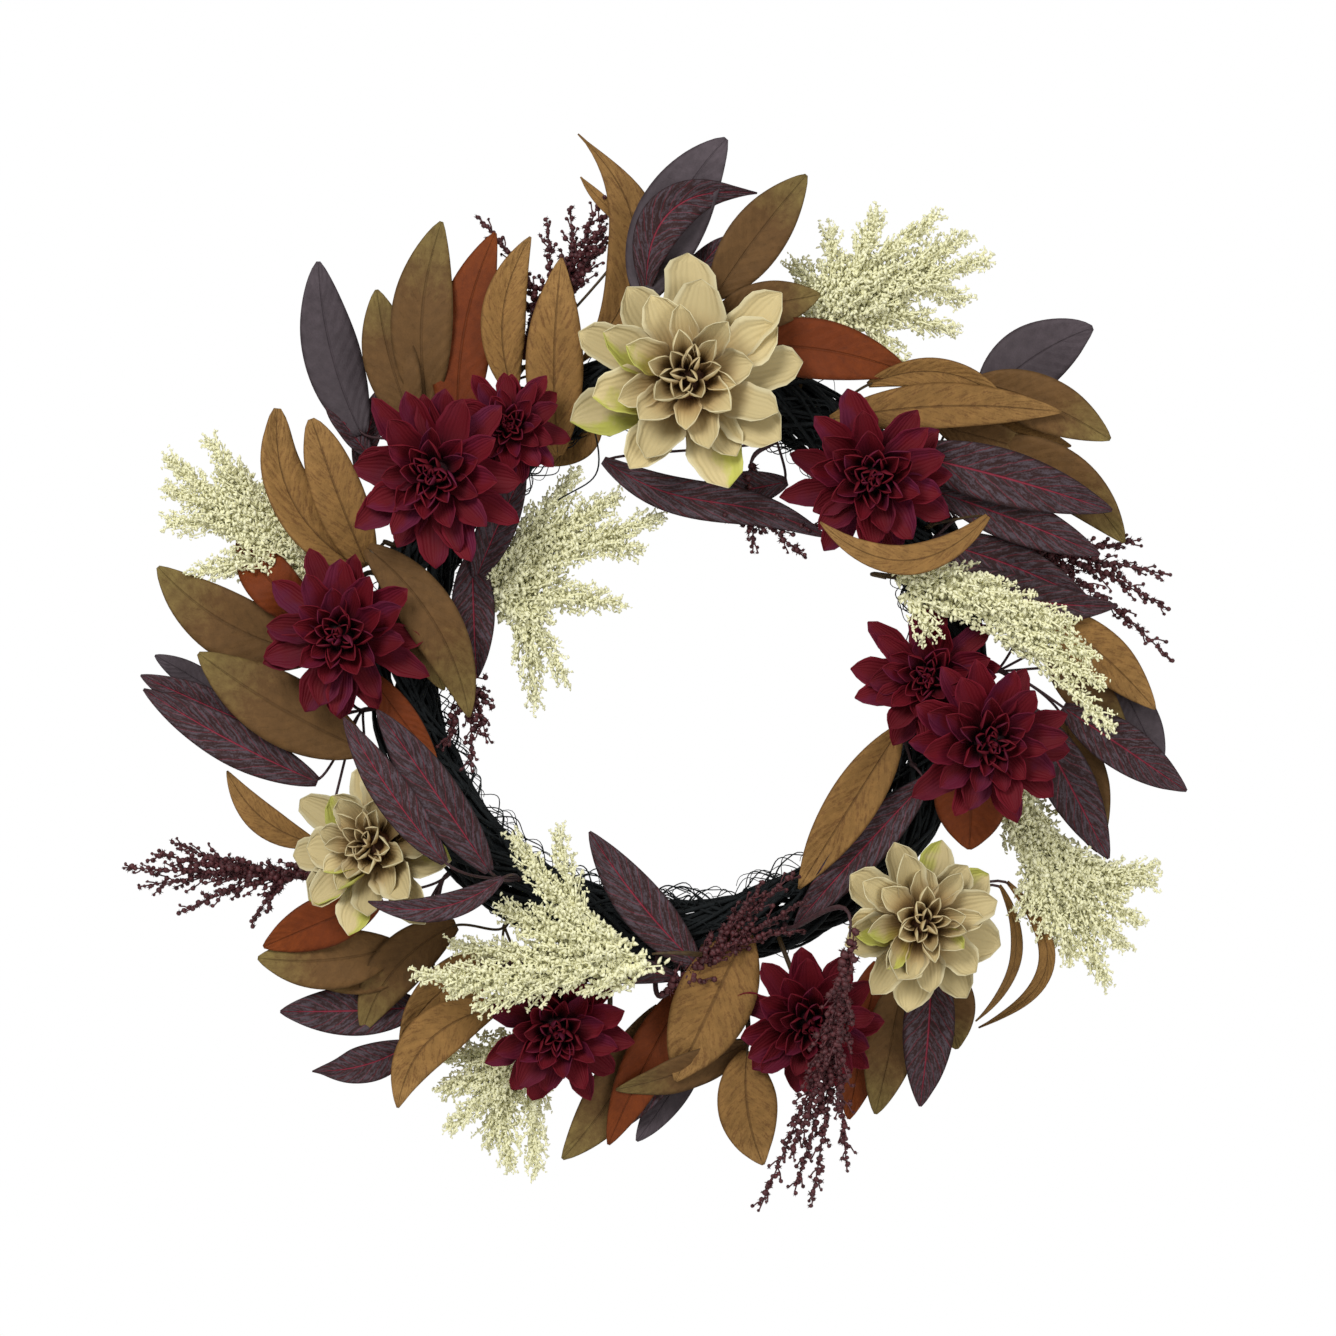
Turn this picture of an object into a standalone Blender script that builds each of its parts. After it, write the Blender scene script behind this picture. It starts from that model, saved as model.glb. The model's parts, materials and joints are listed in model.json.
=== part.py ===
"""Harvest door wreath: a vine ring wound on a wire hoop, its hanger, and the picks pushed into it.

Metres, +Z up. The wreath hangs in the XZ plane and faces -Y, and the door is on its +Y side.
The origin is the bearing point inside the top of the hanger's loop, where a door hook carries it.
A place on the wreath is a clock angle (degrees, clockwise from the top, as seen from the front) and a
distance in mm beyond the ring's centre line. A lift is a distance in mm in front of the ring's face.
"""
import math

import bpy
import bmesh
from mathutils import Matrix, Vector
from mathutils.bvhtree import BVHTree

MM = 0.001

# ---- driving dimensions, in mm and degrees -------------------------------------------------------
RING_RADIUS = 157.0         # centre line of the vine ring
RING_TUBE = 21.0            # half the ring's thickness across its tube
RING_LOBE = 1.3             # height of the wound vines on the tube
RING_LOBES = 3              # vines side by side round the tube
RING_TURNS = 11             # how often they wind round the tube on the way round the ring
RING_FORWARD = 10.0         # tube's centre in front of the hoop wire
BACK_REACH = 5.5            # flat back of the ring behind the hoop wire
HOOP_WIRE = 1.7             # radius of the hoop's wire
GROOVE_GAP = 0.5            # room round the hoop in its groove
HANGER_WIRE = 1.1           # radius of the hanger's wire
EYE_GAP = 0.9               # room between the hoop and the hanger's eye
SHANK_LENGTH = 12.0         # twisted wire between eye and loop
LOOP_RADIUS = 9.0           # inside of the loop that takes the hook
NOTCH_GAP = 2.5             # room beside the hanger where the vines part
SOCKET_DEPTH = 12.0         # how far a stem is pushed into the vines
SOCKET_GAP = 0.3            # room round a stem in its socket
STEM_EXIT = 5.0             # straight stretch of stem outside the vines
FLOWER_STEM = 1.8           # radius of a flower's stem
LEAF_STEM = 1.7             # radius of a leaf pick's stem
PLUME_STEM = 1.6            # radius of a plume's or berry pick's stem
PETIOLE = 0.9               # half the width of a leaf stalk
LEAF_THICKNESS = 1.0        # fabric leaf with its midrib wire
PEG_RADIUS = 1.2            # peg that a flower head turns on
PEG_LENGTH = 7.0
BORE_GAP = 0.3              # room round the peg and behind the head
CALYX_RADIUS = 5.2
CALYX_LENGTH = 9.0
PLUME_HALF = 7.0            # half the thickness of a plume's branch
BERRY_HALF = 4.0            # half the thickness of a berry branch
PETAL_NOTCH = 0.13          # share of a head's radius that is cut in between its petals
CLEAR = 0.6                 # room kept between neighbours while they are placed
LIFT_STEP = 1.5             # how far a pick moves forward when its place is taken

# ---- what follows from them ----------------------------------------------------------------------
EYE_INSIDE = HOOP_WIRE + EYE_GAP
EYE_RADIUS = EYE_INSIDE + HANGER_WIRE
LOOP_MIDDLE = LOOP_RADIUS + HANGER_WIRE
LOOP_RISE = EYE_RADIUS + SHANK_LENGTH + LOOP_MIDDLE
HANG_DROP = LOOP_RISE + LOOP_RADIUS
RING_CENTRE_Z = -(RING_RADIUS + HANG_DROP)
NOTCH_HALF = LOOP_MIDDLE + HANGER_WIRE + NOTCH_GAP
NOTCH_FLOOR = EYE_RADIUS + HANGER_WIRE + NOTCH_GAP
FACE_Y = -(RING_FORWARD + RING_TUBE)
ROUND = 48                  # facets round the ring and the hoop
STEM_SIDES = 5

COLOURS = {
    "vine": ("#15191A", 0.9, 0.0), "wire": ("#3A3B3C", 0.45, 0.9), "stem": ("#4B4326", 0.7, 0.0),
    "olive": ("#7B6436", 0.6, 0.0), "tan": ("#A67E42", 0.6, 0.0), "rust": ("#7E3D18", 0.6, 0.0),
    "plum": ("#4D4248", 0.6, 0.0), "plume": ("#E0E0AE", 0.8, 0.0), "berry": ("#451C20", 0.7, 0.0),
    "cream": ("#E0D3AE", 0.6, 0.0), "red": ("#8B1428", 0.6, 0.0),
}

# Flower heads: kind, clock and out of the rim's middle, lift of the back, facing (clock and lean),
# radius, depth, petals
FLOWERS = {
    "cream_dahlia_top": ("cream", 2, 0, 20, (0, 6), 64, 46, 10),
    "cream_dahlia_left": ("cream", -121, 43, 22, (-60, 24), 52, 40, 9),
    "cream_dahlia_right": ("cream", 137, 43, 20, (60, 12), 51, 42, 9),
    "red_dahlia_upper_left": ("red", -53, 13, 38, (-120, 8), 47, 32, 8),
    "red_mum_upper_left": ("red", -36, 4, 21, (20, 8), 32, 22, 7),
    "red_dahlia_left": ("red", -86, 32, 20, (-90, 6), 46, 34, 8),
    "red_dahlia_lower_left": ("red", -162, 62, 10, (180, 10), 43, 32, 8),
    "red_dahlia_lower_right": ("red", 160, 60, 16, (170, 10), 42, 32, 8),
    "red_mum_right": ("red", 94, -17, 20, (-80, 10), 40, 24, 7),
    "red_dahlia_right": ("red", 105, 22, 38, (110, 8), 45, 32, 8),
    "red_dahlia_upper_right": ("red", 47, -9, 20, (200, 6), 46, 34, 8),
}

# Leaf picks: colour, socket clock, socket turn (0 front, 90 outer rim, -90 inner rim), lift, lean and
# leaves; each leaf: clock and out of its base, heading (clock angle), length, width, bend
LEAF_PICKS = {
    "leaf_pick_upper_left": ("olive", -46, 78, -14, -4, (
        (-47, 52, -15, 68, 25, 0), (-43, 55, 6, 94, 30, -14), (-53, 71, -13, 90, 25, 10))),
    "leaf_pick_top_left": ("rust", -31, 72, -8, 2, (
        (-42, 30, 9, 104, 31, -10), (-32, 36, 11, 80, 20, 10), (-29, 24, 1, 64, 28, 4),
        (-16, 40, -3, 112, 22, -46))),
    "leaf_pick_top": ("plum", 13, 80, -12, 0, (
        (-4, 54, 27, 90, 34, 16), (-4, 50, 46, 77, 20, 20), (7, 58, 37, 75, 25, 0),
        (9, 44, 79, 46, 22, 0), (12, 26, 98, 90, 28, 20))),
    "leaf_pick_top_right": ("tan", 33, 40, 4, 0, (
        (37, 39, 98, 67, 12, 50), (35, 12, 88, 117, 22, 12))),
    "leaf_pick_upper_right": ("olive", 52, 78, -14, 0, (
        (50, 79, 114, 69, 28, 10), (50, 47, 105, 48, 17, 0), (57, 60, 124, 79, 25, 40),
        (50, 80, 57, 65, 31, 10))),
    "leaf_pick_right_plum": ("plum", 63, 50, 2, 0, (
        (49, 22, 105, 113, 28, 10), (59, 24, 111, 89, 22, 0), (70, -6, 100, 108, 20, -16),
        (67, 10, 111, 85, 22, 10))),
    "leaf_pick_right_curl": ("tan", 62, 10, 50, 0, (
        (64, 24, -92, 84, 12, 110),)),
    "leaf_pick_right": ("olive", 92, 78, -14, 0, (
        (90, 63, 137, 54, 22, 0), (84, 59, 130, 73, 22, 16), (101, 76, 166, 64, 28, 0),
        (100, 53, 152, 85, 25, 0), (99, 73, 124, 69, 22, -14), (95, 92, 150, 39, 20, 0))),
    "leaf_pick_right_inner": ("tan", 114, -30, 2, 0, (
        (111, -26, -148, 97, 28, 0), (119, -3, -138, 103, 22, 0))),
    "leaf_pick_right_rust": ("rust", 121, 60, -6, 0, (
        (111, 24, 180, 40, 36, 0),)),
    "leaf_pick_lower_right": ("plum", 146, 78, -14, 0, (
        (146, 73, -168, 68, 25, 0), (140, 83, 171, 36, 25, 0), (141, 75, -176, 72, 25, 0),
        (148, 60, -169, 77, 25, 0))),
    "leaf_pick_bottom_tan": ("tan", 169, 40, 4, -6, (
        (168, 14, -155, 79, 39, 0), (172, 70, 166, 63, 34, -20), (172, 67, -110, 66, 20, 24))),
    "leaf_pick_bottom_rust": ("rust", 179, 70, -10, 0, (
        (179, 38, -153, 90, 22, 0), (178, 57, -143, 71, 17, 0), (-170, 86, -145, 53, 22, 0))),
    "leaf_pick_bottom_inner": ("plum", -179, 20, 16, 0, (
        (178, 8, -39, 88, 22, 10), (-177, 21, -86, 101, 17, -10))),
    "leaf_pick_lower_left": ("tan", -147, 70, -8, 0, (
        (-148, 42, -134, 76, 22, -20), (-151, 72, -138, 69, 22, 10), (-142, 38, -136, 80, 22, -40))),
    "leaf_pick_lower_left_rim": ("olive", -133, 80, -16, 0, (
        (-131, 76, -107, 57, 28, 0), (-129, 94, -97, 44, 22, 0), (-126, 72, -124, 54, 25, -16),
        (-142, 98, -92, 68, 25, 0), (-143, 108, -113, 49, 14, 0))),
    "leaf_pick_left_inner": ("plum", -132, -10, 44, 4, (
        (-128, 15, -35, 84, 17, 0), (-135, -1, -35, 96, 22, 0), (-139, 7, -100, 62, 12, 60))),
    "leaf_pick_left": ("olive", -99, 78, -14, 0, (
        (-98, 95, -66, 54, 14, 0), (-107, 70, -63, 93, 20, 0), (-103, 40, -60, 95, 34, 0),
        (-112, 76, -60, 49, 14, 0), (-87, 61, -59, 87, 28, 0), (-79, 65, -61, 39, 22, 0))),
    "leaf_pick_left_fold": ("tan", -68, 60, 4, 0, (
        (-70, 36, -26, 78, 20, -20), (-71, 30, -20, 80, 28, 10))),
    "leaf_pick_left_arch": ("olive", -74, 0, 8, 4, (
        (-72, 22, 149, 102, 25, 40), (-78, 3, 154, 56, 20, 0), (-95, 14, 143, 50, 14, 0))),
    "leaf_pick_upper_left_inner": ("plum", -62, -50, 2, 6, (
        (-64, -34, 24, 58, 17, 0), (-66, -30, 178, 60, 20, 0))),
}

# Plumes and berry sprays: kind, socket clock and turn, base clock and out, lift, lean of the tips,
# and the branches: heading and length
BACK_SPRAYS = {
    "berry_pick_top_left": ("berry", -24, 80, -29, 34, -16, 0, (
        (36, 128), (25, 108), (6, 86), (-22, 76))),
    "berry_pick_right": ("berry", 69, 78, 69, 30, -16, 0, (
        (100, 105), (122, 124), (89, 88))),
    "berry_pick_lower_left": ("berry", -119, 84, -121, 80, -18, 0, (
        (-89, 107), (-109, 80), (-133, 43), (-79, 85))),
    "berry_pick_top": ("berry", 24, -50, 20, -38, 2, 0, (
        (178, 50), (-122, 46), (150, 62))),
    "plume_top_right": ("plume", 24, 60, 23, 28, -10, 0, (
        (44, 104), (62, 116), (10, 72), (80, 84))),
    "plume_left": ("plume", -74, 70, -77, 40, -10, 0, (
        (-55, 123), (-45, 108), (-71, 104), (-88, 83))),
    "plume_upper_left_inner": ("plume", -80, -60, -82, -42, -2, 0, (
        (32, 108), (58, 125), (79, 81), (120, 54))),
    "plume_lower_left": ("plume", -168, 80, -167, 66, -16, 0, (
        (-95, 90), (-122, 92), (-155, 55))),
    "plume_lower_right": ("plume", 111, 76, 110, 42, -12, 0, (
        (152, 131), (135, 109), (125, 104), (162, 71))),
}
FRONT_SPRAYS = {
    "plume_bottom": ("plume", 179, 12, -177, 6, 46, 0, (
        (-95, 138), (-106, 100), (-60, 80), (-46, 96))),
    "plume_right": ("plume", 72, -20, 71, -34, 26, 10, (
        (104, 108), (116, 136), (122, 152))),
    "berry_pick_bottom": ("berry", 146, 10, 147, 18, 56, 0, (
        (-170, 150), (-160, 164), (176, 120))),
    "berry_pick_bottom_inner": ("berry", -176, 30, -178, 32, 20, 0, (
        (-4, 86), (24, 92), (46, 104))),
    "berry_pick_left": ("berry", -90, -40, -93, -22, 2, 0, (
        (118, 30), (162, 56), (178, 40))),
}


# ---- places and directions -----------------------------------------------------------------------
def heading(clock):
    """Unit vector in the wreath's plane that points at a clock angle."""
    return Vector((math.sin(math.radians(clock)), 0.0, math.cos(math.radians(clock))))


def place(clock, out, lift):
    """Point beyond the ring's centre line and in front of the ring's face."""
    point = heading(clock) * (RING_RADIUS + out)
    return Vector((point.x, FACE_Y - lift, point.z + RING_CENTRE_Z))


def facing(clock, lean):
    """Direction a flower looks in: to the front, leaned towards a clock angle."""
    front = Vector((0.0, -1.0, 0.0))
    return front * math.cos(math.radians(lean)) + heading(clock) * math.sin(math.radians(lean))


def socket_line(clock, turn):
    """Bottom of a stem's socket in the vines, and the direction it comes out in."""
    outward = facing(clock, turn)
    middle = heading(clock) * RING_RADIUS + Vector((0.0, -RING_FORWARD, RING_CENTRE_Z))
    return middle + outward * (RING_TUBE - SOCKET_DEPTH), outward


def bezier(start, first, second, end, count):
    """Points along a cubic curve, without its first point."""
    points = []
    for step in range(1, count + 1):
        t = step / count
        s = 1.0 - t
        points.append(start * s ** 3 + first * 3 * s * s * t + second * 3 * s * t * t + end * t ** 3)
    return points


# ---- closed bodies, as a list of points and a list of faces ---------------------------------------
def frames(points):
    """Side vector at each point, carried back from the end without twisting."""
    tangents = []
    for index, _ in enumerate(points):
        before = points[max(index - 1, 0)]
        after = points[min(index + 1, len(points) - 1)]
        tangents.append((after - before).normalized())
    side = tangents[-1].cross(Vector((0.0, -1.0, 0.0))).normalized()
    sides = []
    for tangent in reversed(tangents):
        side = (side - tangent * side.dot(tangent)).normalized()
        sides.append(side)
    sides.reverse()
    return tangents, sides


def swept(points, sections, corners):
    """Closed body through a (half width, half depth) at each point; 3 corners make a ridged leaf."""
    tangents, sides = frames(points)
    outline = [(math.cos(turn), math.sin(turn)) for turn in
               (math.pi * (2 * corner + 1) / corners for corner in range(corners))]
    if corners == 3:
        outline = [(1.0, -1.0), (0.0, 1.0), (-1.0, -1.0)]
    verts = []
    for point, tangent, side, (wide, deep) in zip(points, tangents, sides, sections):
        up = side.cross(tangent)
        verts.extend(point + side * (wide * across) + up * (deep * front) for across, front in outline)
    faces = [tuple(reversed(range(corners)))]
    for ring in range(len(points) - 1):
        for corner in range(corners):
            here = ring * corners + corner
            beside = ring * corners + (corner + 1) % corners
            faces.append((here, beside, beside + corners, here + corners))
    last = (len(points) - 1) * corners
    faces.append(tuple(range(last, last + corners)))
    return verts, faces


def torus(centre, radius, wire, along, out, count, sides):
    """Closed wire circle in the plane of the two given directions."""
    normal = along.cross(out)
    verts = []
    faces = []
    for step in range(count):
        angle = 2.0 * math.pi * step / count
        arm = along * math.cos(angle) + out * math.sin(angle)
        for corner in range(sides):
            turn = 2.0 * math.pi * (corner + 0.5) / sides
            verts.append(centre + arm * (radius + wire * math.cos(turn)) + normal * (wire * math.sin(turn)))
    for step in range(count):
        for corner in range(sides):
            here = step * sides + corner
            beside = step * sides + (corner + 1) % sides
            ahead = (step + 1) % count * sides
            faces.append((here, ahead + corner, ahead + (corner + 1) % sides, beside))
    return verts, faces


def box(low, high):
    """Closed box between two corners."""
    verts = [Vector((x, y, z)) for x in (low.x, high.x) for y in (low.y, high.y) for z in (low.z, high.z)]
    faces = [(0, 1, 3, 2), (4, 6, 7, 5), (0, 4, 5, 1), (2, 3, 7, 6), (0, 2, 6, 4), (1, 5, 7, 3)]
    return verts, faces


def without_start(body, corners):
    """A swept body without its first stretch."""
    verts, faces = body
    kept = [loop for loop in faces if min(loop) >= corners]
    return verts[corners:], [tuple(index - corners for index in loop) for loop in kept]


def joined(bodies):
    """Several bodies as one list of points and faces."""
    verts = []
    faces = []
    for points, loops in bodies:
        start = len(verts)
        verts.extend(points)
        faces.extend(tuple(index + start for index in loop) for loop in loops)
    return verts, faces


# ---- Blender objects -----------------------------------------------------------------------------
def material(name):
    """The plain material of one finish, made once."""
    if name in bpy.data.materials:
        return bpy.data.materials[name]
    code, roughness, metallic = COLOURS[name]
    made = bpy.data.materials.new(name)
    made.use_nodes = True
    shader = made.node_tree.nodes["Principled BSDF"]
    channels = [int(code[at:at + 2], 16) / 255.0 for at in (1, 3, 5)]
    linear = [value / 12.92 if value <= 0.04045 else ((value + 0.055) / 1.055) ** 2.4 for value in channels]
    shader.inputs["Base Color"].default_value = (*linear, 1.0)
    shader.inputs["Roughness"].default_value = roughness
    shader.inputs["Metallic"].default_value = metallic
    return made


def mesh_object(name, body, colour=None):
    """Object from a body, in mm, with its faces pointing out."""
    verts, faces = body
    mesh = bpy.data.meshes.new(name)
    mesh.from_pydata(verts, [], faces)
    work = bmesh.new()
    work.from_mesh(mesh)
    bmesh.ops.triangulate(work, faces=work.faces)
    bmesh.ops.recalc_face_normals(work, faces=work.faces)
    work.to_mesh(mesh)
    work.free()
    made = bpy.data.objects.new(name, mesh)
    bpy.context.scene.collection.objects.link(made)
    if colour:
        mesh.materials.append(material(colour))
    return made


def carve(target, tool, operation):
    """Apply an exact Boolean to the target's mesh and remove the tool."""
    modifier = target.modifiers.new(operation.lower(), "BOOLEAN")
    modifier.operation = operation
    modifier.solver = "EXACT"
    modifier.object = tool
    depsgraph = bpy.context.evaluated_depsgraph_get()
    result = bpy.data.meshes.new_from_object(target.evaluated_get(depsgraph))
    target.modifiers.clear()
    old = target.data
    target.data = result
    bpy.data.meshes.remove(old)
    bpy.data.objects.remove(tool, do_unlink=True)


def settle(made, pivot, degrees, origin=None):
    """Bring a finished piece from mm to metres, place its origin, shade it and hang it on its pivot."""
    origin = origin or Vector((0.0, 0.0, 0.0))
    made.data.transform(Matrix.Scale(MM, 4) @ Matrix.Translation(-origin))
    made.location = origin * MM
    made.data.shade_smooth()
    made.data.set_sharp_from_angle(angle=math.radians(degrees))
    if pivot:
        made.parent = pivot
        made.matrix_parent_inverse = Matrix.Translation(-pivot.location)


# ---- keeping neighbours apart ----------------------------------------------------------------------
class Crowd:
    """The solids placed so far, to find room for the next one."""

    def __init__(self):
        self.trees = []

    @staticmethod
    def extent(verts):
        """Lowest and highest corner."""
        low = Vector(min(point[axis] for point in verts) for axis in range(3))
        high = Vector(max(point[axis] for point in verts) for axis in range(3))
        return low, high

    def add(self, body):
        """Remember a body."""
        verts, faces = body
        self.trees.append((self.extent(verts), BVHTree.FromPolygons(verts, faces)))

    def free(self, body):
        """Whether a body touches nothing that was placed before it."""
        verts, faces = body
        low, high = self.extent(verts)
        tree = None
        for (other_low, other_high), other in self.trees:
            if any(low[axis] > other_high[axis] or high[axis] < other_low[axis] for axis in range(3)):
                continue
            tree = tree or BVHTree.FromPolygons(verts, faces)
            if tree.overlap(other):
                return False
        return True


# ---- ring, hoop and hanger -----------------------------------------------------------------------
def ring_body():
    """Wound vine ring with a flat back."""
    across = 10
    centre = Vector((0.0, -RING_FORWARD, RING_CENTRE_Z))
    verts = []
    for step in range(ROUND):
        clock = 360.0 * step / ROUND
        for corner in range(across):
            turn = 2.0 * math.pi * corner / across
            wind = RING_LOBES * turn - RING_TURNS * math.radians(clock)
            thick = RING_TUBE - RING_LOBE + RING_LOBE * math.cos(wind)
            point = centre + heading(clock) * (RING_RADIUS + thick * math.sin(turn))
            point.y = min(centre.y - thick * math.cos(turn), BACK_REACH)
            verts.append(point)
    faces = []
    for step in range(ROUND):
        for corner in range(across):
            here = step * across
            ahead = (step + 1) % ROUND * across
            beside = (corner + 1) % across
            faces.append((here + corner, here + beside, ahead + beside, ahead + corner))
    return verts, faces


def groove_body():
    """Annular slot that lets the hoop in from the ring's back."""
    half = HOOP_WIRE + GROOVE_GAP
    profile = ((-half, -half), (half, -half), (half, 2 * BACK_REACH), (-half, 2 * BACK_REACH))
    verts = []
    faces = []
    for step in range(ROUND):
        arm = heading(360.0 * (step + 0.5) / ROUND)
        for out, back in profile:
            point = arm * (RING_RADIUS + out)
            verts.append(Vector((point.x, back, point.z + RING_CENTRE_Z)))
    for step in range(ROUND):
        here = step * 4
        ahead = (step + 1) % ROUND * 4
        for corner in range(4):
            beside = (corner + 1) % 4
            faces.append((here + corner, here + beside, ahead + beside, ahead + corner))
    return verts, faces


def notch_body():
    """Gap in the vines at the top, where the hanger swings."""
    top = RING_CENTRE_Z + RING_RADIUS
    deep = RING_FORWARD + 2 * RING_TUBE
    low = Vector((-NOTCH_HALF, -deep, top - NOTCH_FLOOR))
    high = Vector((NOTCH_HALF, deep, top + 2 * RING_TUBE))
    return box(low, high)


def hanger_sweep():
    """Space that the hanger passes through in the wreath's own frame as the wreath is lifted."""
    top = RING_CENTRE_Z + RING_RADIUS
    reach = HANG_DROP + 2 * HANGER_WIRE
    low = Vector((-NOTCH_HALF, -RING_FORWARD - RING_TUBE, top - EYE_RADIUS))
    high = Vector((NOTCH_HALF, BACK_REACH, top + reach))
    return box(low, high)


def hoop_body():
    """Steel wire hoop that the vines are wound on."""
    centre = Vector((0.0, 0.0, RING_CENTRE_Z))
    return torus(centre, RING_RADIUS, HOOP_WIRE, Vector((1, 0, 0)), Vector((0, 0, 1)), ROUND, 5)


def make_hanger():
    """Wire hanger: an eye round the hoop, a twisted shank and a loop for the door hook."""
    across = Vector((1, 0, 0))
    deep = Vector((0, 1, 0))
    up = Vector((0, 0, 1))
    hoop_top = Vector((0.0, 0.0, -HANG_DROP))
    eye = torus(hoop_top, EYE_RADIUS, HANGER_WIRE, deep, up, 12, 5)
    shank_start = hoop_top + up * EYE_RADIUS
    shank_end = shank_start + up * SHANK_LENGTH
    half = HANGER_WIRE * 1.7
    shank = swept([shank_start, shank_end], [(half, half)] * 2, 7)
    loop = torus(hoop_top + up * LOOP_RISE, LOOP_MIDDLE, HANGER_WIRE, across, up, 18, 5)
    made = mesh_object("hanger_loop", eye, "wire")
    carve(made, mesh_object("tool", shank), "UNION")
    carve(made, mesh_object("tool", loop), "UNION")
    settle(made, None, 50)


# ---- flowers -------------------------------------------------------------------------------------
def head_body(radius, depth, petals, notch):
    """Flower head round +Z: bore, back, a long outer whorl, a short inner whorl and the heart."""
    bore = PEG_RADIUS + BORE_GAP
    profile = (
        (bore, PEG_LENGTH + BORE_GAP, 0), (bore, 0.0, 0), (CALYX_RADIUS, 0.0, 0),
        (radius, 0.46 * depth, 1), (0.98 * radius, 0.54 * depth, 1),
        (0.56 * radius, 0.60 * depth, 0), (0.60 * radius, 0.86 * depth, 1), (0.20 * radius, depth, 0))
    sides = 2 * petals
    verts = []
    for out, high, lobed in profile:
        for step in range(sides):
            angle = math.pi * step / petals
            reach = out * (1.0 - notch * lobed * (step % 2))
            verts.append(Vector((reach * math.cos(angle), reach * math.sin(angle), high)))
    faces = []
    for ring in range(len(profile) - 1):
        for step in range(sides):
            here = ring * sides
            beside = (step + 1) % sides
            faces.append((here + step, here + beside, here + sides + beside, here + sides + step))
    faces.append(tuple(range(sides)))
    faces.append(tuple(range((len(profile) - 1) * sides, len(profile) * sides)))
    return verts, faces


def stem_line(clock, turn, target, along, count):
    """Points of a stem: straight out of its socket, then curving into its target."""
    bottom, outward = socket_line(clock, turn)
    mouth = bottom + outward * (SOCKET_DEPTH + 0.5 * STEM_EXIT)
    top = bottom + outward * (SOCKET_DEPTH + STEM_EXIT)
    pull = (target - top).length * 0.45
    curve = bezier(top, top + outward * pull, target - along * pull, target, count)
    return [bottom, mouth, top] + curve


def flower_stem(clock, turn, back, look, grow):
    """Stem with its calyx and the peg that the head turns on."""
    calyx_end = back - look * BORE_GAP
    calyx_start = calyx_end - look * CALYX_LENGTH
    line = stem_line(clock, turn, calyx_start, look, 4)
    peg_start = calyx_end + look * 0.05
    peg_end = calyx_end + look * PEG_LENGTH
    points = line + [calyx_end - look, calyx_end, peg_start, peg_end]
    wide = [FLOWER_STEM] * len(line) + [CALYX_RADIUS, CALYX_RADIUS, PEG_RADIUS, PEG_RADIUS]
    return swept(points, [(half + grow, half + grow) for half in wide], STEM_SIDES)


def make_flower(name, plan, crowd, ring, sockets, pivot):
    """One flower head and, in the vines, the stem it sits on."""
    colour, clock, out, lift, look_to, radius, depth, petals = plan
    look = facing(*look_to)
    back = place(clock, out, lift) - Vector((look.x, 0.0, look.z)) * (0.5 * depth)
    turn = 35.0 if out > 25 else 5.0
    to_world = Matrix.Translation(back) @ Vector((0, 0, 1)).rotation_difference(look).to_matrix().to_4x4()
    head = head_body(radius, depth, petals, PETAL_NOTCH)
    turned = head_body((radius + CLEAR) / math.cos(0.5 * math.pi / petals), depth + CLEAR, petals, 0.0)
    shell = ([to_world @ point for point in turned[0]], turned[1])
    for shift in SOCKET_SHIFTS:
        trial = flower_stem(clock + shift, turn, back, look, CLEAR)
        if crowd.free(trial) and ring.free(without_start(trial, STEM_SIDES)):
            break
    else:
        print("no room for the stem of", name)
    crowd.add(trial)
    crowd.add(shell)
    sockets.append((clock + shift, turn, FLOWER_STEM))
    bottom = socket_line(clock + shift, turn)[0]
    stem = mesh_object(name + "_stem", flower_stem(clock + shift, turn, back, look, 0.0), "stem")
    settle(stem, pivot, 40, bottom)
    made = mesh_object(name, head, colour)
    settle(made, pivot, 40)
    made.location = back * MM
    made.rotation_euler = Vector((0, 0, 1)).rotation_difference(look).to_euler()


# ---- leaf picks ----------------------------------------------------------------------------------
BLADE = ((0.0, 0.10), (0.2, 0.78), (0.45, 1.0), (0.75, 0.76), (1.0, 0.08))
SOCKET_SHIFTS = (0, 2, -2, 4, -4, 6, -6, 8, -8, 10, -10, 12, -12)


def leaf_body(start, outward, leaf, lift, lean, grow):
    """One leaf: a stalk from the pick's stem to the leaf's base, then the blade."""
    clock, out, direction, length, width, bend = leaf
    base = place(clock, out, lift)
    along = heading(direction)
    across = heading(direction + 90.0)
    entry = heading(direction - bend / 2.0)
    pull = (base - start).length * 0.36
    points = [start] + bezier(start, start + outward * pull, base - entry * pull, base, 3)
    half = LEAF_THICKNESS / 2.0 + grow
    sections = [(PETIOLE + grow, half)] * (len(points) - 1)
    points.pop()
    for t, share in BLADE:
        aside = -math.radians(bend) / 2.0 * length * t * (1.0 - t)
        point = base + along * (length * t) + across * aside
        point.y -= lean * t
        points.append(point)
        sections.append((max(width / 2.0 * share, PETIOLE) + grow, half))
    return swept(points, sections, 3)


def leaf_pick_bodies(plan, clock, turn, lift, grow):
    """Stem and leaves of one pick, as bodies still to be joined."""
    bottom, outward = socket_line(clock, turn)
    top = bottom + outward * (SOCKET_DEPTH + STEM_EXIT)
    stem = swept([bottom, top], [(LEAF_STEM + grow, LEAF_STEM + grow)] * 2, STEM_SIDES)
    leaves = [leaf_body(top - outward * (0.8 + 0.35 * index), outward, leaf, lift, plan[4], grow)
              for index, leaf in enumerate(plan[5])]
    return [stem] + leaves


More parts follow.
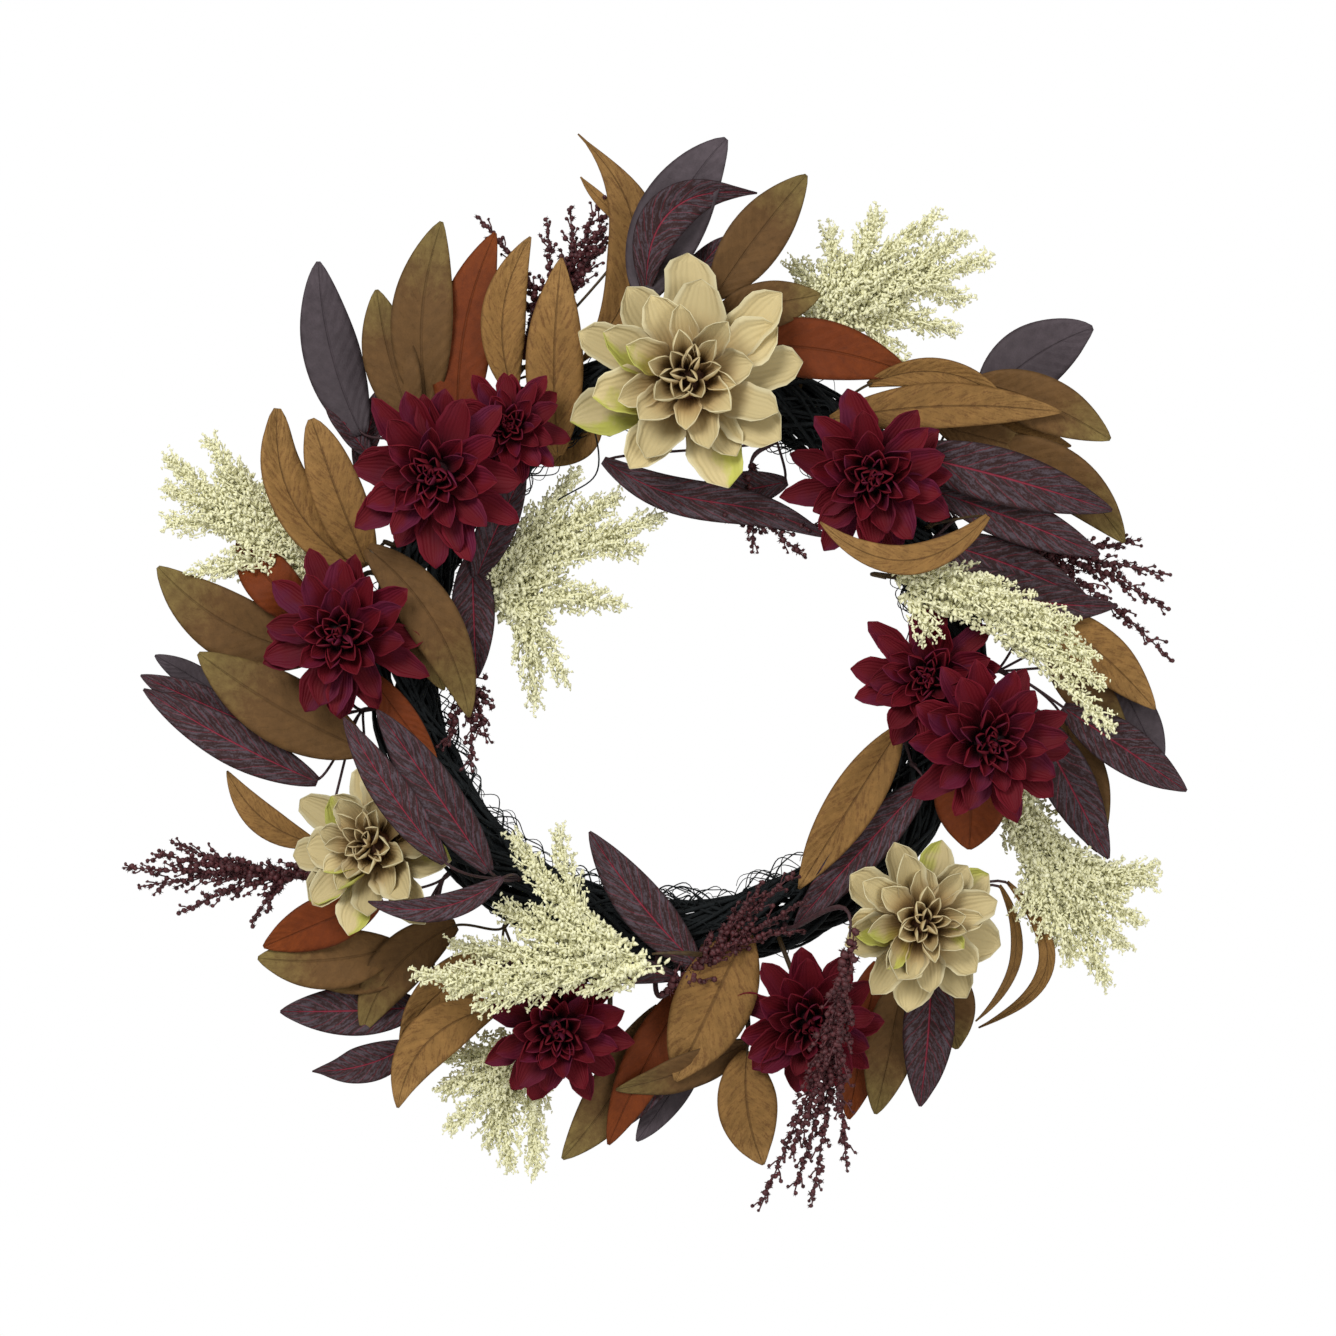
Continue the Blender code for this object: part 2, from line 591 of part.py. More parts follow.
def spray_bodies(plan, clock, turn, lift, grow):
    """Stem and branches of a plume or a berry spray, as bodies still to be joined."""
    kind, _, _, base_clock, base_out, _, lean, branches = plan
    half = PLUME_HALF if kind == "plume" else BERRY_HALF
    base = place(base_clock, base_out, lift)
    main = heading(branches[0][0])
    line = stem_line(clock, turn, base, main, 2)
    line.append(base + main * 6.0)
    bodies = [swept(line, [(PLUME_STEM + grow, PLUME_STEM + grow)] * len(line), STEM_SIDES)]
    for index, (direction, length) in enumerate(branches):
        tip = base + heading(direction) * length
        tip.y -= lean
        share = 0.5 * index / len(branches)
        start = base + main * (branches[0][1] * share + 1.0)
        knee = start + main * (0.3 * (tip - start).length)
        points = [start] + bezier(start, knee, (knee + tip) / 2.0, tip, 3)
        wide = [PLUME_STEM * 0.7, 0.9 * half, half, 0.2 * half]
        bodies.append(swept(points, [(w + grow, 0.75 * w + grow) for w in wide], 5))
    return bodies


def make_pick(name, plan, bodies_of, colour, radius, lift, crowd, ring, sockets, pivot):
    """Find room for a pick, from its own lift forwards, and build it there."""
    clock, turn = plan[1], plan[2]
    for tries in range(60):
        raised = lift + tries * LIFT_STEP
        found = None
        for shift in SOCKET_SHIFTS:
            trial = bodies_of(plan, clock + shift, turn, raised, CLEAR)
            beyond = [without_start(trial[0], STEM_SIDES)] + trial[1:]
            if crowd.free(joined(trial)) and ring.free(joined(beyond)):
                found = shift
                break
        if found is not None:
            break
    else:
        print("no room for", name)
        found = 0
    print(f"{name}: lifted {raised - lift:.1f}, socket moved {found}")
    crowd.add(joined(trial))
    sockets.append((clock + found, turn, radius))
    bodies = bodies_of(plan, clock + found, turn, raised, 0.0)
    made = mesh_object(name, bodies[0], colour)
    for body in bodies[1:]:
        carve(made, mesh_object("tool", body), "UNION")
    settle(made, pivot, 40, socket_line(clock + found, turn)[0])


# ---- the wreath ----------------------------------------------------------------------------------
def make_ring(sockets, pivot):
    """Vine ring with the hoop's groove, the hanger's notch and every stem's socket."""
    made = mesh_object("vine_ring", ring_body(), "vine")
    carve(made, mesh_object("tool", groove_body()), "DIFFERENCE")
    carve(made, mesh_object("tool", notch_body()), "DIFFERENCE")
    for clock, turn, radius in sockets:
        bottom, outward = socket_line(clock, turn)
        half = (radius + SOCKET_GAP) / math.cos(math.pi / STEM_SIDES)
        ends = [bottom - outward * SOCKET_GAP, bottom + outward * (SOCKET_DEPTH + STEM_EXIT)]
        carve(made, mesh_object("tool", swept(ends, [(half, half)] * 2, STEM_SIDES)), "DIFFERENCE")
    settle(made, pivot, 35)


def main():
    """Build every piece."""
    for old in list(bpy.data.objects):
        bpy.data.objects.remove(old, do_unlink=True)
    pivot = bpy.data.objects.new("wreath_pivot", None)
    pivot.location = (0.0, 0.0, -HANG_DROP * MM)
    bpy.context.scene.collection.objects.link(pivot)
    make_hanger()
    hoop = mesh_object("wire_hoop", hoop_body(), "wire")
    settle(hoop, pivot, 50)
    crowd = Crowd()
    crowd.add(hanger_sweep())
    ring = Crowd()
    ring.add(ring_body())
    sockets = []
    for name, plan in FLOWERS.items():
        make_flower(name, plan, crowd, ring, sockets, pivot)
    for name, plan in BACK_SPRAYS.items():
        make_pick(name, plan, spray_bodies, plan[0], PLUME_STEM, plan[5], crowd, ring, sockets, pivot)
    for name, plan in LEAF_PICKS.items():
        make_pick(name, plan, leaf_pick_bodies, plan[0], LEAF_STEM, plan[3], crowd, ring, sockets, pivot)
    for name, plan in FRONT_SPRAYS.items():
        make_pick(name, plan, spray_bodies, plan[0], PLUME_STEM, plan[5], crowd, ring, sockets, pivot)
    make_ring(sockets, pivot)


main()
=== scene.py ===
# %% [markdown]
# # Harvest door wreath
# A door wreath is a ring of wound vines with flowers, leaves, plumes and berry sprays pushed into it.
# The solid model already says where everything is, so this script loads it as a fixed frame and builds the
# visible fabric, vines and berries round it. Sizes below are in millimetres and are turned into metres
# when a mesh is made, because leaves and petals are easier to think about in millimetres.

# %% Load the frame
import json
import math
import random

import bmesh
import bpy
from mathutils import Matrix, Vector


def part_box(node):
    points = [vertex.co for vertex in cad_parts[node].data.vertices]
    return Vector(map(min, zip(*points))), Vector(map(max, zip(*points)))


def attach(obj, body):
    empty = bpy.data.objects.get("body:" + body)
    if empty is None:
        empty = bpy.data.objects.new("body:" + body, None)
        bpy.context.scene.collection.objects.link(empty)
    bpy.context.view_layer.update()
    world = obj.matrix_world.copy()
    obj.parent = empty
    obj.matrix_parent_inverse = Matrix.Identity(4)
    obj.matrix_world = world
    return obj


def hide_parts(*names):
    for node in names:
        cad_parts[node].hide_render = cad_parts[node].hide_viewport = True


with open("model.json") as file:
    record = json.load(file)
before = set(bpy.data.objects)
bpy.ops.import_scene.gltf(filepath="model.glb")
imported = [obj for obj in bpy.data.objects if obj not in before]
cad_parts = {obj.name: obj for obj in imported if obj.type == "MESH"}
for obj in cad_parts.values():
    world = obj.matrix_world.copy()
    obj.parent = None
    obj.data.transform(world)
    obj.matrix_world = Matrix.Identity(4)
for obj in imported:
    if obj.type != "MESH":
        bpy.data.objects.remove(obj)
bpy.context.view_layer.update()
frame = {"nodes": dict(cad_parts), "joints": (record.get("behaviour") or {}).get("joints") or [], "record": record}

MM = 0.001

# %% [markdown]
# ## Measures taken from the frame
# The steel hoop inside the vines is a true circle, so its box gives the wreath's centre and radius.
# A place on the wreath is then a clock angle and a distance beyond that circle, as a florist would say it.

# %% Centre, radius and depths of the ring
hoop_low, hoop_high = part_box("wire_hoop")
ring_low, ring_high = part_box("vine_ring")
HOOP_WIRE = (hoop_high.y - hoop_low.y) / 2.0 / MM
RING_Z = (hoop_low.z + hoop_high.z) / 2.0 / MM
RING_RADIUS = (hoop_high.x - hoop_low.x) / 2.0 / MM - HOOP_WIRE
RING_FRONT = ring_low.y / MM
RING_BACK = ring_high.y / MM
TUBE = (ring_high.x - hoop_high.x) / MM + HOOP_WIRE
TUBE_Y = RING_FRONT + TUBE
print(f"ring radius {RING_RADIUS:.1f} mm, tube {TUBE:.1f} mm, centre at z {RING_Z:.1f} mm")


def heading(clock):
    """Unit vector in the wreath's plane at a clock angle in degrees."""
    return Vector((math.sin(math.radians(clock)), 0.0, math.cos(math.radians(clock))))


def place(clock, out, depth):
    """Point at a clock angle, beyond the hoop, at a depth (y), in mm."""
    point = heading(clock) * (RING_RADIUS + out)
    return Vector((point.x, depth, point.z + RING_Z))


def bezier(start, first, second, end, count):
    """Points on a cubic curve, both ends included."""
    points = []
    for step in range(count + 1):
        t = step / count
        s = 1.0 - t
        points.append(start * s ** 3 + first * 3 * s * s * t + second * 3 * s * t * t + end * t ** 3)
    return points


# %% [markdown]
# ## Adding nodes
# Every material and every Geometry Nodes tree is made of nodes, so one small function adds a node, sets
# its options and fills its inputs: a node or a socket is linked, anything else becomes the input's value.

# %% One function that adds a node
def fill(tree, node, inputs):
    """Fill a node's inputs with sockets or nodes to link, or with values; a node gives its first output."""
    for name, value in inputs.items():
        if isinstance(value, bpy.types.Node):
            value = value.outputs[0]
        if isinstance(value, bpy.types.NodeSocket):
            tree.links.new(value, node.inputs[name])
        else:
            node.inputs[name].default_value = value


def add(tree, kind, inputs=None, stops=None, **settings):
    """Add a node with its settings and its filled inputs; stops are a colour ramp's."""
    node = tree.nodes.new(kind)
    for name, value in settings.items():
        setattr(node, name, value)
    fill(tree, node, inputs or {})
    if stops:
        elements = node.color_ramp.elements
        while len(elements) < len(stops):
            elements.new(0.5)
        for element, (position, colour) in zip(elements, stops):
            element.position = position
            element.color = colour
    return node


def srgb(code):
    """Linear colour from an sRGB hex code."""
    channels = [int(code[at:at + 2], 16) / 255.0 for at in (1, 3, 5)]
    linear = [value / 12.92 if value <= 0.04045 else ((value + 0.055) / 1.055) ** 2.4 for value in channels]
    return (*linear, 1.0)


def new_material(name):
    """Empty material with a Principled shader; gives the material, its tree and the shader."""
    made = bpy.data.materials.new(name)
    made.use_nodes = True
    tree = made.node_tree
    return made, tree, tree.nodes["Principled BSDF"]


# %% [markdown]
# ## Printed polyester leaves
# The leaves are cut from thin woven polyester that is printed with a leaf's colours and pressed in a hot
# mould, which gives the midrib, the side veins and a slight quilting. Such cloth is matt, so roughness is
# high and the gloss low. The print follows the leaf, so the pattern reads the leaf's own UV map:
# x across the blade and y along it. The speckles are 1 to 3 mm and read Object coordinates in metres.

# %% Leaf finishes
# noise grains in cells per metre: speckles of 1.1 mm, clouds of 6 mm and a wobble of 8 mm in the veins
SPECKLE_GRAIN = 900.0
CLOUD_GRAIN = 170.0
WOBBLE_GRAIN = 120.0
MATT_GLOSS = 0.2
VEIN_PAIRS = 11.0
VEIN_SWEEP = -0.42


def leaf_material(name, body, tip, vein, edge, streak, streaked, vein_strength, roughness):
    """Printed polyester leaf with a midrib, side veins, a worn edge and streaks between the veins."""
    made, tree, shader = new_material(name)
    uv = add(tree, "ShaderNodeUVMap", uv_map="blade")
    split = add(tree, "ShaderNodeSeparateXYZ", {0: uv})
    tone = add(tree, "ShaderNodeAttribute", attribute_name="tone")
    coords = add(tree, "ShaderNodeTexCoord")
    aside = add(tree, "ShaderNodeMath", {0: split, 1: 0.5}, operation="SUBTRACT")
    aside = add(tree, "ShaderNodeMath", {0: aside}, operation="ABSOLUTE")
    # side veins, swept forward towards the tip
    sweep = add(tree, "ShaderNodeMath", {0: aside, 1: VEIN_SWEEP, 2: split.outputs[1]},
                operation="MULTIPLY_ADD")
    wobble = add(tree, "ShaderNodeTexNoise", {"Vector": coords.outputs["Object"], "Scale": WOBBLE_GRAIN})
    sweep = add(tree, "ShaderNodeMath", {0: wobble, 1: 0.05, 2: sweep}, operation="MULTIPLY_ADD")
    pairs = add(tree, "ShaderNodeMath", {0: sweep, 1: VEIN_PAIRS}, operation="MULTIPLY")
    saw = add(tree, "ShaderNodeMath", {0: pairs}, operation="FRACT")
    saw = add(tree, "ShaderNodeMath", {0: saw, 1: 0.5}, operation="SUBTRACT")
    saw = add(tree, "ShaderNodeMath", {0: saw}, operation="ABSOLUTE")
    side_vein = add(tree, "ShaderNodeMapRange", {"Value": saw, 1: 0.0, 2: 0.07, 3: 1.0, 4: 0.0})
    midrib = add(tree, "ShaderNodeMapRange", {"Value": aside, 1: 0.008, 2: 0.028, 3: 1.0, 4: 0.0})
    fine = add(tree, "ShaderNodeTexNoise", {"Vector": coords.outputs["Object"], "Scale": SPECKLE_GRAIN,
                                            "Detail": 3.0, "Roughness": 0.7})
    broad = add(tree, "ShaderNodeTexNoise", {"Vector": coords.outputs["Object"], "Scale": CLOUD_GRAIN,
                                             "Detail": 5.0, "Roughness": 0.65})
    # print: body colour towards the tip colour, then the blotches
    reach = add(tree, "ShaderNodeMath", {0: broad, 1: 0.5, 2: split.outputs[1]}, operation="MULTIPLY_ADD")
    to_tip = add(tree, "ShaderNodeMapRange", {"Value": reach, 1: 0.85, 2: 1.30})
    base = add(tree, "ShaderNodeMix", {0: to_tip, 6: srgb(body), 7: srgb(tip)}, data_type="RGBA")
    # the print's streaks run with the side veins, so their noise is stretched that way
    wide = add(tree, "ShaderNodeMath", {0: aside, 1: 7.0}, operation="MULTIPLY")
    long = add(tree, "ShaderNodeMath", {0: sweep, 1: 34.0}, operation="MULTIPLY")
    own = add(tree, "ShaderNodeMath", {0: tone.outputs["Fac"], 1: 40.0}, operation="MULTIPLY")
    grain = add(tree, "ShaderNodeCombineXYZ", {0: wide, 1: long, 2: own})
    strands = add(tree, "ShaderNodeTexNoise",
                  {"Vector": grain, "Scale": 1.0, "Detail": 4.0, "Roughness": 0.65})
    mixed = add(tree, "ShaderNodeMath", {0: fine, 1: 0.45, 2: strands}, operation="MULTIPLY_ADD")
    marks = add(tree, "ShaderNodeMapRange",
                {"Value": mixed, 1: 0.86 - 0.28 * streaked, 2: 1.02 - 0.28 * streaked})
    marks = add(tree, "ShaderNodeMath", {0: marks, 1: min(1.0, 0.25 + streaked)}, operation="MULTIPLY")
    # veins: the midrib full strength, the side veins at the finish's own strength
    veins = add(tree, "ShaderNodeMath", {0: side_vein, 1: 0.55 * vein_strength}, operation="MULTIPLY")
    veins = add(tree, "ShaderNodeMath", {0: veins, 1: midrib}, operation="MAXIMUM")
    veins = add(tree, "ShaderNodeMath", {0: veins, 1: vein_strength}, operation="MULTIPLY")
    rim = add(tree, "ShaderNodeMapRange", {"Value": aside, 1: 0.455, 2: 0.495})
    rim = add(tree, "ShaderNodeMath", {0: rim, 1: 0.75}, operation="MULTIPLY")
    for share, code in ((marks, streak), (veins, vein), (rim, edge)):
        base = add(tree, "ShaderNodeMix", {0: share, 6: base.outputs[2], 7: srgb(code)}, data_type="RGBA")
    # each leaf is printed a little lighter or darker
    value = add(tree, "ShaderNodeMapRange", {"Value": tone.outputs["Fac"], 3: 0.80, 4: 1.14})
    cloudy = add(tree, "ShaderNodeMapRange", {"Value": broad, 1: 0.3, 2: 0.7, 3: 0.82, 4: 1.14})
    value = add(tree, "ShaderNodeMath", {0: value, 1: cloudy}, operation="MULTIPLY")
    shade = add(tree, "ShaderNodeHueSaturation", {"Value": value, "Color": base.outputs[2]})
    # pressed relief: veins sunk, quilting between them, and the weave
    relief = add(tree, "ShaderNodeMath", {0: saw, 1: 0.8}, operation="MULTIPLY")
    relief = add(tree, "ShaderNodeMath", {0: fine, 1: 0.35, 2: relief}, operation="MULTIPLY_ADD")
    sunk = add(tree, "ShaderNodeMath", {0: midrib, 1: -0.9, 2: relief}, operation="MULTIPLY_ADD")
    bump = add(tree, "ShaderNodeBump", {"Height": sunk, "Strength": 0.8, "Distance": 0.0007})
    fill(tree, shader, {"Base Color": shade, "Normal": bump, "Roughness": roughness,
                        "Specular IOR Level": MATT_GLOSS})
    return made


LEAF_FINISHES = {
    "olive": leaf_material("printed_polyester_olive", "#664928", "#7C6B3C", "#432F1A", "#50391D",
                           "#523A1C", 0.30, 0.30, 0.75),
    "tan": leaf_material("printed_polyester_tan", "#8B6738", "#967242", "#4A301A", "#62431F",
                         "#684626", 0.50, 0.50, 0.80),
    "rust": leaf_material("printed_polyester_rust", "#6E300C", "#75370E", "#3B1D0B", "#4E250E",
                          "#5A280C", 0.30, 0.30, 0.70),
    "plum": leaf_material("printed_polyester_plum", "#352020", "#3A2628", "#8C2A3C", "#241516",
                          "#534950", 0.64, 0.92, 0.72),
    "smoke": leaf_material("polyester_plum_back", "#494044", "#52484D", "#352A2F", "#372C30",
                           "#43393E", 0.25, 0.25, 0.66),
}
LEAF_SLOTS = {"olive": "leaf_olive", "tan": "leaf_tan", "rust": "leaf_rust", "plum": "leaf_plum",
              "smoke": "leaf_plum"}
print("leaf finishes:", ", ".join(LEAF_FINISHES))

# %% [markdown]
# ## Satin petals
# Dahlia petals are polyester satin, pressed with fine ribs along their length. Washed satin has only a
# soft gloss, and the shader has no sheen, so a painted sheen makes the edges paler than the blade. The
# colour darkens towards the petal's base, which is deep in the flower: partly the dye, partly painted shade,
# most on the inner petals, so the colour runs along the UV map. A colour attribute called tone carries what
# differs between petals: red how far out the petal's whorl is, green a random lightness and blue a lime
# accent.

# %% Petal finishes
# noise grains in cells per metre: dye clouds of 9 mm, and a weave of 0.7 mm, coarser than real satin's
# 0.1 mm so that it shows
DYE_GRAIN = 110.0
WEAVE_GRAIN = 1500.0
SATIN_GLOSS = 0.18
RIBS = 9.0


def petal_material(name, blade, edge, warm, root, accent, root_and_shade_reach, roughness):
    """Satin petal: ribs, a dark root of dye and painted shade, a painted sheen on the edge, a coloured accent on
    some petals.
    """
    made, tree, shader = new_material(name)
    uv = add(tree, "ShaderNodeUVMap", uv_map="blade")
    split = add(tree, "ShaderNodeSeparateXYZ", {0: uv})
    tone = add(tree, "ShaderNodeAttribute", attribute_name="tone")
    parts = add(tree, "ShaderNodeSeparateColor", {0: tone.outputs["Color"]})
    coords = add(tree, "ShaderNodeTexCoord")
    cloud = add(tree, "ShaderNodeTexNoise",
                {"Vector": coords.outputs["Object"], "Scale": DYE_GRAIN, "Detail": 3.0})
    # the dark root, dye and painted shade deep in the flower, covers most of an inner petal and little of an outer
    # one
    reach = add(tree, "ShaderNodeMapRange", {"Value": parts, 3: root_and_shade_reach, 4: 0.22})
    reach = add(tree, "ShaderNodeMath", {0: cloud, 1: 0.12, 2: reach}, operation="MULTIPLY_ADD")
    along = add(tree, "ShaderNodeMath", {0: split.outputs[1], 1: reach}, operation="DIVIDE")
    dark_root_and_shade = add(tree, "ShaderNodeMapRange", {"Value": along, 1: 0.25, 2: 1.15, 3: 1.0, 4: 0.0},
                 interpolation_type="SMOOTHSTEP")
    aside = add(tree, "ShaderNodeMath", {0: split, 1: 0.5}, operation="SUBTRACT")
    aside = add(tree, "ShaderNodeMath", {0: aside}, operation="ABSOLUTE")
    # painted sheen: the edge is painted lighter than the blade, where satin would catch the light
    rim = add(tree, "ShaderNodeMapRange", {"Value": aside, 1: 0.33, 2: 0.5, 3: 0.0, 4: 0.8})
    colour = add(tree, "ShaderNodeMix", {0: rim, 6: srgb(blade), 7: srgb(edge)}, data_type="RGBA")
    lime = add(tree, "ShaderNodeMath", {0: split, 1: cloud}, operation="ADD")
    lime = add(tree, "ShaderNodeMapRange", {"Value": lime, 1: 0.95, 2: 1.25, 3: 0.0, 4: 0.85})
    lime = add(tree, "ShaderNodeMath", {0: lime, 1: parts.outputs[2]}, operation="MULTIPLY")
    # a warm band and then the dark root darken the petal towards its base: partly dye, partly painted shade
    warm_root_and_shade = add(tree, "ShaderNodeMapRange", {"Value": along, 1: 0.6, 2: 2.0, 3: 0.75, 4: 0.0},
                 interpolation_type="SMOOTHSTEP")
    for share, code in ((lime, accent), (warm_root_and_shade, warm), (dark_root_and_shade, root)):
        colour = add(tree, "ShaderNodeMix", {0: share, 6: colour.outputs[2], 7: srgb(code)},
                     data_type="RGBA")
    value = add(tree, "ShaderNodeMapRange", {"Value": parts.outputs[1], 3: 0.85, 4: 1.12})
    shade = add(tree, "ShaderNodeHueSaturation", {"Value": value, "Color": colour.outputs[2]})
    # pressed ribs across a petal, and the weave
    ribs = add(tree, "ShaderNodeMath", {0: split, 1: RIBS * 2.0 * math.pi}, operation="MULTIPLY")
    ribs = add(tree, "ShaderNodeMath", {0: ribs}, operation="SINE")
    weave = add(tree, "ShaderNodeTexNoise", {"Vector": coords.outputs["Object"], "Scale": WEAVE_GRAIN})
    height = add(tree, "ShaderNodeMath", {0: weave, 1: 0.5, 2: ribs}, operation="MULTIPLY_ADD")
    bump = add(tree, "ShaderNodeBump", {"Height": height, "Strength": 0.35, "Distance": 0.0003})
    fill(tree, shader, {"Base Color": shade, "Normal": bump, "Roughness": roughness,
                        "Specular IOR Level": SATIN_GLOSS})
    return made


# blade, edge painted lighter as a painted sheen, warm and root darkened by dye and painted shade, accent
PETAL_FINISHES = {
    "cream": petal_material("satin_cream", "#C3B283", "#D2C8A2", "#96703A", "#3F1F0A", "#B0B24A",
                            0.68, 0.65),
    "red": petal_material("satin_wine_red", "#5C0714", "#66091C", "#3C0410", "#120104", "#561230",
                          0.62, 0.68),
}
print("petal finishes:", ", ".join(PETAL_FINISHES))

# %% [markdown]
# ## Vines, wire, stems, plumes and berries
# Angel vine is dyed nearly black and is rough and matt. The hoop and hanger are drawn steel wire. Stems
# are moulded polyethylene on wire, and the plumes and berries are moulded too, with a matt skin. Each of
# these is the same all over but for fine variation, so Object coordinates and noise are enough.

# %% Finishes of the other pieces
def rough_material(name, dark, light, scale, roughness, bump_depth, metallic=0.0, specular=0.4):
    """Material that wanders between two colours, with relief of the same grain, in cells per metre."""
    made, tree, shader = new_material(name)
    coords = add(tree, "ShaderNodeTexCoord")
    grain = add(tree, "ShaderNodeTexNoise",
                {"Vector": coords.outputs["Object"], "Scale": scale, "Detail": 4.0, "Roughness": 0.6})
    spread = add(tree, "ShaderNodeValToRGB", {0: grain}, stops=((0.32, srgb(dark)), (0.68, srgb(light))))
    bump = add(tree, "ShaderNodeBump", {"Height": grain, "Strength": 0.6, "Distance": bump_depth})
    fill(tree, shader, {"Base Color": spread, "Normal": bump, "Roughness": roughness, "Metallic": metallic,
                        "Specular IOR Level": specular})
    return made


VINE = rough_material("angel_vine_dyed", "#0B0D0E", "#1B2022", 420.0, 0.85, 0.0006, specular=0.25)
STEEL = rough_material("drawn_steel_wire", "#55585A", "#77797B", 900.0, 0.38, 0.0001, 1.0, 0.5)
STEM = rough_material("moulded_polyethylene_stem", "#33230F", "#4C3A1C", 500.0, 0.6, 0.0002)
PLUM_STEM = rough_material("moulded_polyethylene_plum", "#2C171A", "#44262A", 500.0, 0.6, 0.0002)
PLUME = rough_material("moulded_foam_cream", "#E3E0B4", "#F4F2D0", 330.0, 0.9, 0.0002, specular=0.2)
BUDS = {"cream": rough_material("satin_brown_heart", "#3A1E0C", "#5A3316", 500.0, 0.7, 0.0003),
        "red": rough_material("satin_dark_red_heart", "#16020A", "#33060E", 500.0, 0.7, 0.0003)}
BERRY = rough_material("moulded_berry_burgundy", "#33161A", "#5A2629", 450.0, 0.55, 0.0003)
for name in ("wire_hoop", "hanger_loop"):
    frame["nodes"][name].data.materials.clear()
    frame["nodes"][name].data.materials.append(STEEL)
print("steel wire on the hoop and the hanger")


# %% [markdown]
# ## Making pieces
# A piece is one mesh object. Its points come in millimetres and are scaled as the mesh is made, so the
# object itself stays at the origin, unturned and unscaled. Leaves and petals also carry a UV map and a
# tone, and a thin Solidify gives the cloth its thickness.

# %% Mesh pieces
def new_object(name, data):
    """Object of a mesh, lamp or camera, in the scene."""
    made = bpy.data.objects.new(name, data)
    bpy.context.scene.collection.objects.link(made)
    return made


def mesh_of(name, work):
    """Mesh of what bmesh made, which is freed."""
    mesh = bpy.data.meshes.new(name)
    work.to_mesh(mesh)
    work.free()
    return mesh


class Cloth:
    """Points, faces, UVs and tones of several thin blades that become one piece."""

    def __init__(self):
        self.verts = []
        self.faces = []
        self.uvs = []
        self.tones = []

    def grid(self, rows, tone):
        """Add a grid of points, row by row along the blade."""
        start = len(self.verts)
        along = len(rows)
        across = len(rows[0])
        for step, row in enumerate(rows):
            for column, point in enumerate(row):
                self.verts.append(point)
                self.uvs.append((column / (across - 1), step / (along - 1)))
                self.tones.append(tone)
        for step in range(along - 1):
            for column in range(across - 1):
                here = start + step * across + column
                self.faces.append((here, here + 1, here + across + 1, here + across))

    def piece(self, name, material, thickness):
        """Object of the blades, with the cloth's thickness in mm."""
        mesh = bpy.data.meshes.new(name)
        mesh.from_pydata([point * MM for point in self.verts], [], self.faces)
        mesh.materials.append(material)
        layer = mesh.uv_layers.new(name="blade")
        for loop in mesh.loops:
            layer.data[loop.index].uv = self.uvs[loop.vertex_index]
        tones = mesh.attributes.new("tone", "FLOAT_COLOR", "POINT")
        for index, tone in enumerate(self.tones):
            tones.data[index].color = (*tone, 1.0)
        mesh.shade_smooth()
        made = new_object(name, mesh)
        wall = made.modifiers.new("cloth", "SOLIDIFY")
        wall.thickness = thickness * MM
        wall.offset = 0.0
        return made


def skin(rings, closed=False):
    """Points and faces of a round body through rings of points; a closed one joins its last to its first."""
    sides = len(rings[0])
    verts = [point for ring in rings for point in ring]
    faces = []
    for at in range(len(rings) if closed else len(rings) - 1):
        here = at * sides
        ahead = (at + 1) % len(rings) * sides
        for corner in range(sides):
            beside = (corner + 1) % sides
            faces.append((here + corner, here + beside, ahead + beside, ahead + corner))
    if not closed:
        faces.append(tuple(reversed(range(sides))))
        faces.append(tuple(range(len(verts) - sides, len(verts))))
    return verts, faces


def circle(point, side, up, radii):
    """Ring of points round a point, with a radius for each."""
    turns = [2.0 * math.pi * corner / len(radii) for corner in range(len(radii))]
    return [point + side * (reach * math.cos(turn)) + up * (reach * math.sin(turn))
            for reach, turn in zip(radii, turns)]


def tube(points, radii, sides):
    """Closed round bar through points, with a radius at each."""
    rings = []
    side = None
    for index, point in enumerate(points):
        after = points[min(index + 1, len(points) - 1)]
        before = points[max(index - 1, 0)]
        tangent = (after - before).normalized()
        if side is None:
            side = tangent.orthogonal().normalized()
        side = (side - tangent * side.dot(tangent)).normalized()
        rings.append(circle(point, side, tangent.cross(side), [radii[index]] * sides))
    return skin(rings)


def solid_piece(name, bodies, material):
    """Object of several closed bodies."""
    verts = []
    faces = []
    for points, loops in bodies:
        start = len(verts)
        verts.extend(point * MM for point in points)
        faces.extend(tuple(index + start for index in loop) for loop in loops)
    mesh = bpy.data.meshes.new(name)
    mesh.from_pydata(verts, [], faces)
    mesh.materials.append(material)
    mesh.shade_smooth()
    return new_object(name, mesh)


def settle(piece, body, slot, *nodes):
    """Put a piece on the body that it rides on and hide the nodes that it stands for; slot is not used."""
    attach(piece, body)
    if nodes:
        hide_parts(*nodes)
    return piece


def socket_of(node):
    """Where a pick's stem starts in the vines, and the direction it comes out in."""
    near = []
    for vertex in frame["nodes"][node].data.vertices:
        point = vertex.co / MM
        plan = Vector((point.x, 0.0, point.z - RING_Z))
        middle = plan.normalized() * RING_RADIUS + Vector((0.0, TUBE_Y, RING_Z))
        near.append(((point - middle).length, point, middle))
    near.sort(key=lambda entry: entry[0])
    first = near[0][0] + 1.5
    chosen = [entry for entry in near if entry[0] < first]
    start = sum((entry[1] for entry in chosen), Vector()) / len(chosen)
    plan = Vector((start.x, 0.0, start.z - RING_Z)).normalized()
    middle = plan * RING_RADIUS + Vector((0.0, TUBE_Y, RING_Z))
    return start, (start - middle).normalized()


print("helpers ready")

# %% [markdown]
# ## Leaves
# A real leaf of this kind is cut flat and then bent along its wired midrib. So each one is a grid of
# points laid along a midrib: the midrib bends in the wreath's plane and rises out of it, the blade folds
# along the midrib, its edges ripple, and the whole leaf rolls a little. A table says which leaf is where,
# in the order finish, clock angle and distance beyond the hoop of its base, heading, length, width, bend
# and rise. A last entry holds what is special: sway (an S-curve), roll, twist, fold and how slim its ends
# are. The base is pulled back under the flowers, and a thin stalk joins it to the pick's stem.

